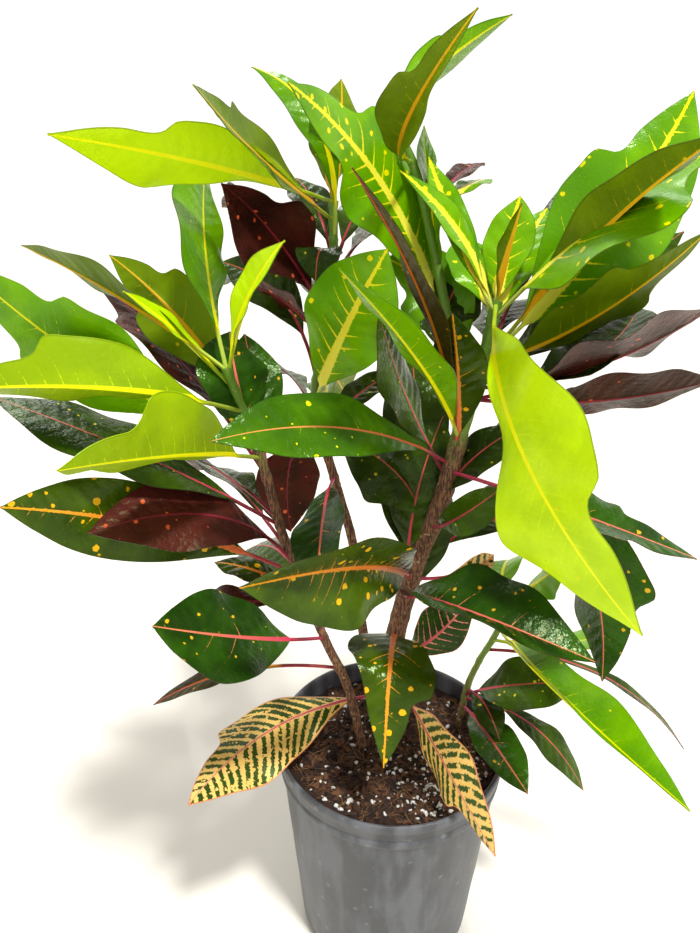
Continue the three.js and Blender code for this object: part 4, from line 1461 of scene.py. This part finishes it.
def bake_modifiers(piece: bpy.types.Object) -> None:
    """Turns a piece's evaluated shape into its own mesh and takes its modifiers off.

    Args:
        piece: The piece.
    """
    bpy.context.view_layer.update()
    seen = piece.evaluated_get(bpy.context.evaluated_depsgraph_get())
    mesh = bpy.data.meshes.new_from_object(seen)
    piece.modifiers.clear()
    piece.data = mesh


@dataclass
class Scatter:
    """Copies of one small shape strewn over a surface by geometry nodes."""

    name: str
    grain: bpy.types.Mesh
    matter: Litter
    density: float
    seed: int
    sizes: tuple[float, float]
    tilt: float
    thicker: str = ""
    least_stretch: float = 0.75
    most_stretch: float = 1.2

    def build(self, ground: bpy.types.Object) -> bpy.types.Object:
        """Strews the copies and turns them into one plain mesh.

        Args:
            ground: The surface that they lie on.

        Returns:
            The object.
        """
        sample = link_object(self.name + "_sample", self.grain)
        piece = link_object(self.name, ground.data.copy())
        tree = self._tree()
        strewn = piece.modifiers.new("strewn", "NODES")
        strewn.node_group = tree
        wanted = {
            "Sample": sample,
            "Density": self.density,
            "Seed": self.seed,
            "Smallest": self.sizes[0],
            "Largest": self.sizes[1],
            "Tilt": self.tilt,
            "Matter": self.matter.material(),
        }
        for item in tree.interface.items_tree:
            if item.item_type == "SOCKET" and item.name in wanted:
                strewn[item.identifier] = wanted[item.name]
        bake_modifiers(piece)
        bpy.data.objects.remove(sample)
        return piece

    def _tree(self) -> bpy.types.NodeTree:
        """Builds the geometry nodes.

        Returns:
            The node tree, with a named input for each setting.
        """
        tree = bpy.data.node_groups.new(self.name, "GeometryNodeTree")
        face = tree.interface
        face.new_socket("Geometry", in_out="OUTPUT", socket_type="NodeSocketGeometry")
        for label, kind in (
            ("Geometry", "Geometry"), ("Sample", "Object"), ("Density", "Float"), ("Seed", "Int"),
            ("Smallest", "Float"), ("Largest", "Float"), ("Tilt", "Float"), ("Matter", "Material"),
        ):
            face.new_socket(label, in_out="INPUT", socket_type="NodeSocket" + kind)
        add = Bench(tree).add
        given = add("NodeGroupInput").node.outputs
        density, seed, tilt = given["Density"], given["Seed"], given["Tilt"]
        if self.thicker:
            share = add("GeometryNodeInputNamedAttribute", {"Name": self.thicker}, "Attribute")
            density = add(MATH, {0: density, 1: share}, operation="MULTIPLY")
        points = add(
            "GeometryNodeDistributePointsOnFaces",
            {"Mesh": given["Geometry"], "Density": density, "Seed": seed},
        )
        sample = add("GeometryNodeObjectInfo", {"Object": given["Sample"]}, "Geometry")
        back = add(MATH, {0: tilt, 1: -1.0}, operation="MULTIPLY")
        least = add(JOIN, {0: back, 1: back, 2: -math.pi})
        most = add(JOIN, {0: tilt, 1: tilt, 2: math.pi})
        turn = add(RANDOM, {0: least, 1: most, "Seed": seed}, **VECTORS)
        size = add(RANDOM, {2: given["Smallest"], 3: given["Largest"], "Seed": seed}, 1)
        bounds = {0: (self.least_stretch,) * 3, 1: (self.most_stretch,) * 3}
        stretch = add(RANDOM, bounds | {"Seed": self.seed + 1}, **VECTORS)
        scale = add("ShaderNodeVectorMath", {0: stretch, "Scale": size}, operation="SCALE")
        lying = points.node.outputs["Rotation"]
        turned = add("FunctionNodeRotateRotation", {0: lying, 1: turn}, rotation_space="LOCAL")
        strewn = add(
            "GeometryNodeInstanceOnPoints",
            {"Points": points, "Instance": sample, "Rotation": turned, "Scale": scale},
        )
        real = add("GeometryNodeRealizeInstances", {0: strewn})
        dressed = add("GeometryNodeSetMaterial", {0: real, "Material": given["Matter"]})
        add("NodeGroupOutput", {0: dressed})
        return tree


def chip_mesh() -> bpy.types.Mesh:
    """A shred of composted bark, about 7 mm long, with a torn outline.

    Returns:
        The mesh of one shred.
    """
    bm = bmesh.new()
    corners = (
        (-3.6, -0.6), (-1.2, -1.5), (1.4, -1.1), (3.5, -0.4), (3, 0.8), (0.6, 1.3), (-2, 1.1),
    )
    low = [bm.verts.new((x * MM, y * MM, -0.45 * MM)) for x, y in corners]
    high = [bm.verts.new((0.92 * x * MM, 0.9 * y * MM, (0.4 + 0.1 * x) * MM)) for x, y in corners]
    bm.faces.new(low[::-1])
    bm.faces.new(high)
    for i, corner in enumerate(low):
        after = (i + 1) % len(low)
        bm.faces.new((corner, low[after], high[after], high[i]))
    return mesh_of(bm, "chip")


def lump_mesh() -> bpy.types.Mesh:
    """A grain of perlite, about 3 mm across: a popped, knobbly, slightly angular lump.

    Returns:
        The mesh of one grain.
    """
    bm = bmesh.new()
    bmesh.ops.create_icosphere(bm, subdivisions=3, radius=1.5)
    for vertex in bm.verts:
        coarse = noise.noise(vertex.co * 0.7 + Vector((3, 1, 2)))
        fine = noise.noise(vertex.co * 2.1)
        vertex.co *= (1 + 0.55 * coarse + 0.22 * fine) * MM
        vertex.co.z *= 0.8
    mesh = mesh_of(bm, "lump")
    mesh.shade_smooth()
    return mesh


def fibre_mesh() -> bpy.types.Mesh:
    """A bent fibre of coir, about 14 mm long and 0.3 mm thick.

    Returns:
        The mesh of one fibre.
    """
    surface = Surface()
    angles = turns(5)
    rings = []
    for x in np.linspace(-7, 7, 13):
        thick = 0.16 * (1 - (x / 8.5) ** 2)
        y, z = 0.03 * x**2 + 0.4 * math.sin(0.8 * x), 0.5 + 0.25 * math.sin(0.5 * x + 1)
        around = [angles * 0 + x, y + thick * np.cos(angles), z + thick * np.sin(angles)]
        rings.append(np.stack(around, 1))
    surface.add_rings(np.array(rings))
    made = surface.to_object("fibre")
    mesh = made.data
    bpy.data.objects.remove(made)
    return mesh


def scar_mesh() -> bpy.types.Mesh:
    """The scar that a fallen leaf leaves: a raised, half-moon pad about 3 mm wide.

    Returns:
        The mesh of one scar.
    """
    bm = bmesh.new()
    bmesh.ops.create_uvsphere(bm, u_segments=14, v_segments=8, radius=1.0)
    for vertex in bm.verts:
        x, y, z = vertex.co
        hollow = 0.5 * math.exp(-((x / 0.45) ** 2 + (y / 0.4) ** 2))
        raised = 0.55 * z - hollow * max(z, 0)
        vertex.co = (1.7 * x * MM, (1.0 * y - 0.35 * x * x) * MM, raised * MM)
    mesh = mesh_of(bm, "scar")
    mesh.shade_smooth()
    return mesh


@dataclass
class PottingSoil:
    """Damp peat that fills the pot, with its crumbs, perlite, bark and fibres."""

    sides: int = 160
    rings: int = 90
    radius: float = 77.9
    wall: Profile = ((60.5, 2.9), (62.4, 4.9), (76.4, 147))
    middle_height: float = 160.0
    slope: float = 0.07
    bump: float = 1.3
    crumb: float = 1.5
    # Where the grains of perlite lie closest, and how far round it.
    grains_x: float = 34.0
    grains_y: float = -44.0
    grains_spread: float = 1100.0
    grains_least: float = 0.22
    grains_more: float = 0.9
    wall_gap: float = 3.0
    grid: int = 60

    def build(self) -> None:
        """Builds the soil and everything that is mixed into its surface."""
        surface = Surface()
        angles = turns(self.sides)
        circle = np.stack([np.cos(angles), np.sin(angles), angles * 0], 1)
        rings = [radius * circle + [0, 0, height] for radius, height in self.wall]
        reaches = [self.radius * i / self.rings for i in range(self.rings, 0, -1)] + [0.05]
        rings += [self._top(reach, angles) for reach in reaches]
        surface.add_rings(np.array(rings))
        bed = surface.to_object("soil_bed", (PEAT.material(),))
        place_piece(bed, "potting_soil", "soil")
        top = self._scatter_top()
        for scatter in (
            Scatter("bark_chips", chip_mesh(), BARK_CHIP, 56000, 3, (0.5, 1.5), 0.7),
            Scatter("perlite", lump_mesh(), PERLITE, 52000, 11, (0.3, 1.1), 2.0, "perlite"),
            Scatter("peat_fibres", fibre_mesh(), FIBRE, 34000, 7, (0.5, 1.4), 0.45),
        ):
            place_piece(scatter.build(top), "potting_soil")
        bpy.data.objects.remove(top)

    def _height(self, x: float, y: float) -> float:
        """Finds the height of the soil at a place, before its crumbs.

        Args:
            x: Place to the right of the middle, in millimetres.
            y: Place behind the middle, in millimetres.

        Returns:
            The height, in millimetres.
        """
        bumps = (
            math.sin(0.13 * x + 1) * math.cos(0.11 * y)
            + 0.7 * math.sin(0.31 * x - 0.23 * y)
            + 0.6 * math.cos(0.19 * x + 0.37 * y)
        )
        return self.middle_height - self.slope * y + self.bump * bumps

    def _top(self, radius: float, angles: np.ndarray) -> np.ndarray:
        """A ring of points on the soil's crumbly surface.

        Args:
            radius: Radius in millimetres.
            angles: Angles of its points.

        Returns:
            The points.
        """
        ring = []
        for angle in angles:
            x, y = radius * math.cos(angle), radius * math.sin(angle)
            crumbs = noise.noise(Vector((x, y, 0)) * 0.35) + 0.6 * noise.noise(Vector((x, y, 9)))
            ring.append((x, y, self._height(x, y) + self.crumb * crumbs))
        return np.array(ring)

    def _scatter_top(self) -> bpy.types.Object:
        """Coarse copy of the soil's surface to scatter on, clear of the pot's wall.

        Returns:
            The surface, whose attribute "perlite" says where the grains lie closest.
        """
        bm = bmesh.new()
        bmesh.ops.create_grid(bm, x_segments=self.grid, y_segments=self.grid, size=1.0)
        layer = bm.verts.layers.float.new("perlite")
        reach = self.radius - self.wall_gap
        for vertex in bm.verts:
            x, y = vertex.co.x * reach, vertex.co.y * reach
            vertex.co = (x * MM, y * MM, self._height(x, y) * MM)
            away = (x - self.grains_x) ** 2 + (y - self.grains_y) ** 2
            near = math.exp(-away / self.grains_spread)
            vertex[layer] = self.grains_least + self.grains_more * near
        outer = [v for v in bm.verts if math.hypot(v.co.x, v.co.y) > reach * MM]
        bmesh.ops.delete(bm, geom=outer, context="VERTS")
        return link_object("scatter_top", mesh_of(bm, "scatter_top"))


@dataclass
class LeafScars:
    """Scars of fallen leaves, spread over the bare stems."""

    sides: int = 10
    level_step: float = 6.0
    # Stem, and the heights between which it is bare.
    stretches: tuple[tuple[str, float, float], ...] = (
        ("cane", 170, 250), ("left", 170, 350), ("trunk", 165, 400), ("sapling", 162, 200),
    )

    def build(self) -> bpy.types.Object:
        """Builds the scars.

        Returns:
            The finished piece.
        """
        surface = Surface()
        for name, low, high in self.stretches:
            stem = STEMS[name]
            rings = []
            for height in np.linspace(low, high, 2 + int((high - low) / self.level_step)):
                place = stem.place_at(height)
                ring = stem.outwards(place, self.sides)
                rings.append(stem.point(place) + ring * stem.radius(place))
            surface.add_rings(np.array(rings))
        ground = surface.to_object("scar_ground")
        scatter = Scatter("leaf_scars", scar_mesh(), SCAR_CORK, 9000, 5, (0.6, 1.0), 0.12)
        piece = scatter.build(ground)
        bpy.data.objects.remove(ground)
        return place_piece(piece, "bark")


@dataclass
class Croton:
    """The whole plant in its pot."""

    pot: NurseryPot
    soil: PottingSoil
    scars: LeafScars
    shoots: list[Shoot]

    def build(self) -> None:
        """Builds every sub-assembly in order, from the pot upwards."""
        for part in (self.pot, self.soil, self.scars, *self.shoots):
            part.build()


@dataclass(frozen=True)
class Card(Finish):
    """White card: matt, with a faint paper grain."""

    white: str
    grain_per_mm: float = 0.7

    def shader(self, bench: Bench) -> Socket:
        """Builds the card.

        Args:
            bench: The material's nodes.

        Returns:
            The surface shader.
        """
        add = bench.add
        where = add(PLACE, out="Object")
        grain = add(NOISE, {0: where, "Scale": self.grain_per_mm / MM})
        normal = add(BUMP, {"Distance": 0.02 * MM, "Height": grain})
        white = linear(self.white)
        return add(SHADER, {"Base Color": white, "Roughness": 0.9, "Normal": normal})


@dataclass
class Studio:
    """A pale floor, a bright horizon, a soft key and a small window, and the photo's viewpoint."""

    eye: Point = (0.0, -399.0, 547.0)
    pitch: float = 22.6
    yaw: float = -4.5
    roll: float = 0.6
    sensor: float = 36.0
    # A focal length of 700 pixels on the photo's long side of 933.
    lens: float = 36.0 * 700 / 933
    nearest: float = 0.01
    farthest: float = 30.0
    floor_size: float = 60.0
    floor_grid: int = 24
    card: str = "#e9e5db"
    glow: str = "#fffcf6"
    horizon_glow: float = 1.15
    overhead_glow: float = 0.5
    glow_fades: tuple[float, float] = (0.34, 0.6)
    key_from: Point = (0.24, -0.33, 0.91)
    key_spread: float = 7.0
    key_power: float = 3.2
    window_place: Point = (-0.45, 1.0, 1.7)
    window_size: float = 0.55
    window_power: float = 9.0

    def build(self) -> None:
        """Builds the floor, the lights and the camera."""
        self._floor()
        self._world()
        # The key is a soft distant light from the front, a little to the right. The small bright
        # window stands high at the back, where the waxy leaves mirror it.
        key = {"energy": self.key_power, "angle": math.radians(self.key_spread)}
        self._light("key", "SUN", Vector(), Vector(self.key_from), **key)
        window = {"shape": "SQUARE", "size": self.window_size, "energy": self.window_power}
        place = Vector(self.window_place)
        self._light("window", "AREA", place, place, **window)
        self._camera()
        bpy.context.scene.view_settings.view_transform = "Standard"

    def _floor(self) -> bpy.types.Object:
        """A wide sheet of white card.

        Returns:
            The floor.
        """
        bm = bmesh.new()
        many, size = self.floor_grid, self.floor_size / 2
        bmesh.ops.create_grid(bm, x_segments=many, y_segments=many, size=size)
        floor = link_object("floor", mesh_of(bm, "floor"))
        floor.data.materials.append(Card("white_card", self.card).material())
        return floor

    def _world(self) -> None:
        """White surroundings that are brightest at the horizon and dimmer overhead."""
        world = bpy.data.worlds.new("light_tent")
        world.use_nodes = True
        world.node_tree.nodes.clear()
        add = Bench(world.node_tree).add
        upward = add(SPLIT, {0: add(PLACE, out="Generated")}, 2)
        low, high = self.glow_fades
        fade = {0: upward, 1: low, 2: high, 3: self.horizon_glow, 4: self.overhead_glow}
        strength = add(RANGE, fade, **SMOOTH)
        glow = add("ShaderNodeBackground", {"Color": linear(self.glow), "Strength": strength})
        add("ShaderNodeOutputWorld", {"Surface": glow})
        bpy.context.scene.world = world

    def _light(
        self, name: str, kind: str, place: Vector, towards: Vector, **settings: object
    ) -> None:
        """Adds a light that shines on the origin.

        Args:
            name: Name of the light.
            kind: Blender's type of light.
            place: Where it stands, in metres.
            towards: Direction from the origin to the light.
            **settings: Properties of the light.
        """
        light = bpy.data.lights.new(name, kind)
        for label, value in settings.items():
            setattr(light, label, value)
        lamp = link_object(name, light)
        turn = (-towards).to_track_quat("-Z", "Y").to_matrix().to_4x4()
        lamp.matrix_world = Matrix.Translation(place) @ turn

    def _camera(self) -> None:
        """Sets the camera where the photo was taken, level apart from a slight roll."""
        pitch, yaw, roll = (math.radians(a) for a in (self.pitch, self.yaw, self.roll))
        ahead = Vector(
            (math.sin(yaw) * math.cos(pitch), math.cos(yaw) * math.cos(pitch), -math.sin(pitch))
        )
        right = ahead.cross(Vector((0, 0, 1))).normalized()
        up = right.cross(ahead)
        turned_right = right * math.cos(roll) + up * math.sin(roll)
        turned_up = up * math.cos(roll) - right * math.sin(roll)
        lens = bpy.data.cameras.new("camera")
        lens.sensor_fit, lens.sensor_width, lens.lens = "AUTO", self.sensor, self.lens
        lens.clip_start, lens.clip_end = self.nearest, self.farthest
        lens.dof.use_dof = False
        camera = link_object("camera", lens)
        turn = Matrix((turned_right, turned_up, -ahead)).transposed().to_4x4()
        camera.matrix_world = Matrix.Translation(Vector(self.eye) * MM) @ turn
        bpy.context.scene.camera = camera


def main() -> None:
    """Builds the plant and its setting."""
    logging.basicConfig(level=logging.INFO, format="%(message)s")
    shoots = [Shoot(node, slot) for node, slot in NODE_SLOTS.items()]
    Croton(NurseryPot(PotPlastic()), PottingSoil(), LeafScars(), shoots).build()
    Studio().build()


if __name__ == "__main__":
    main()
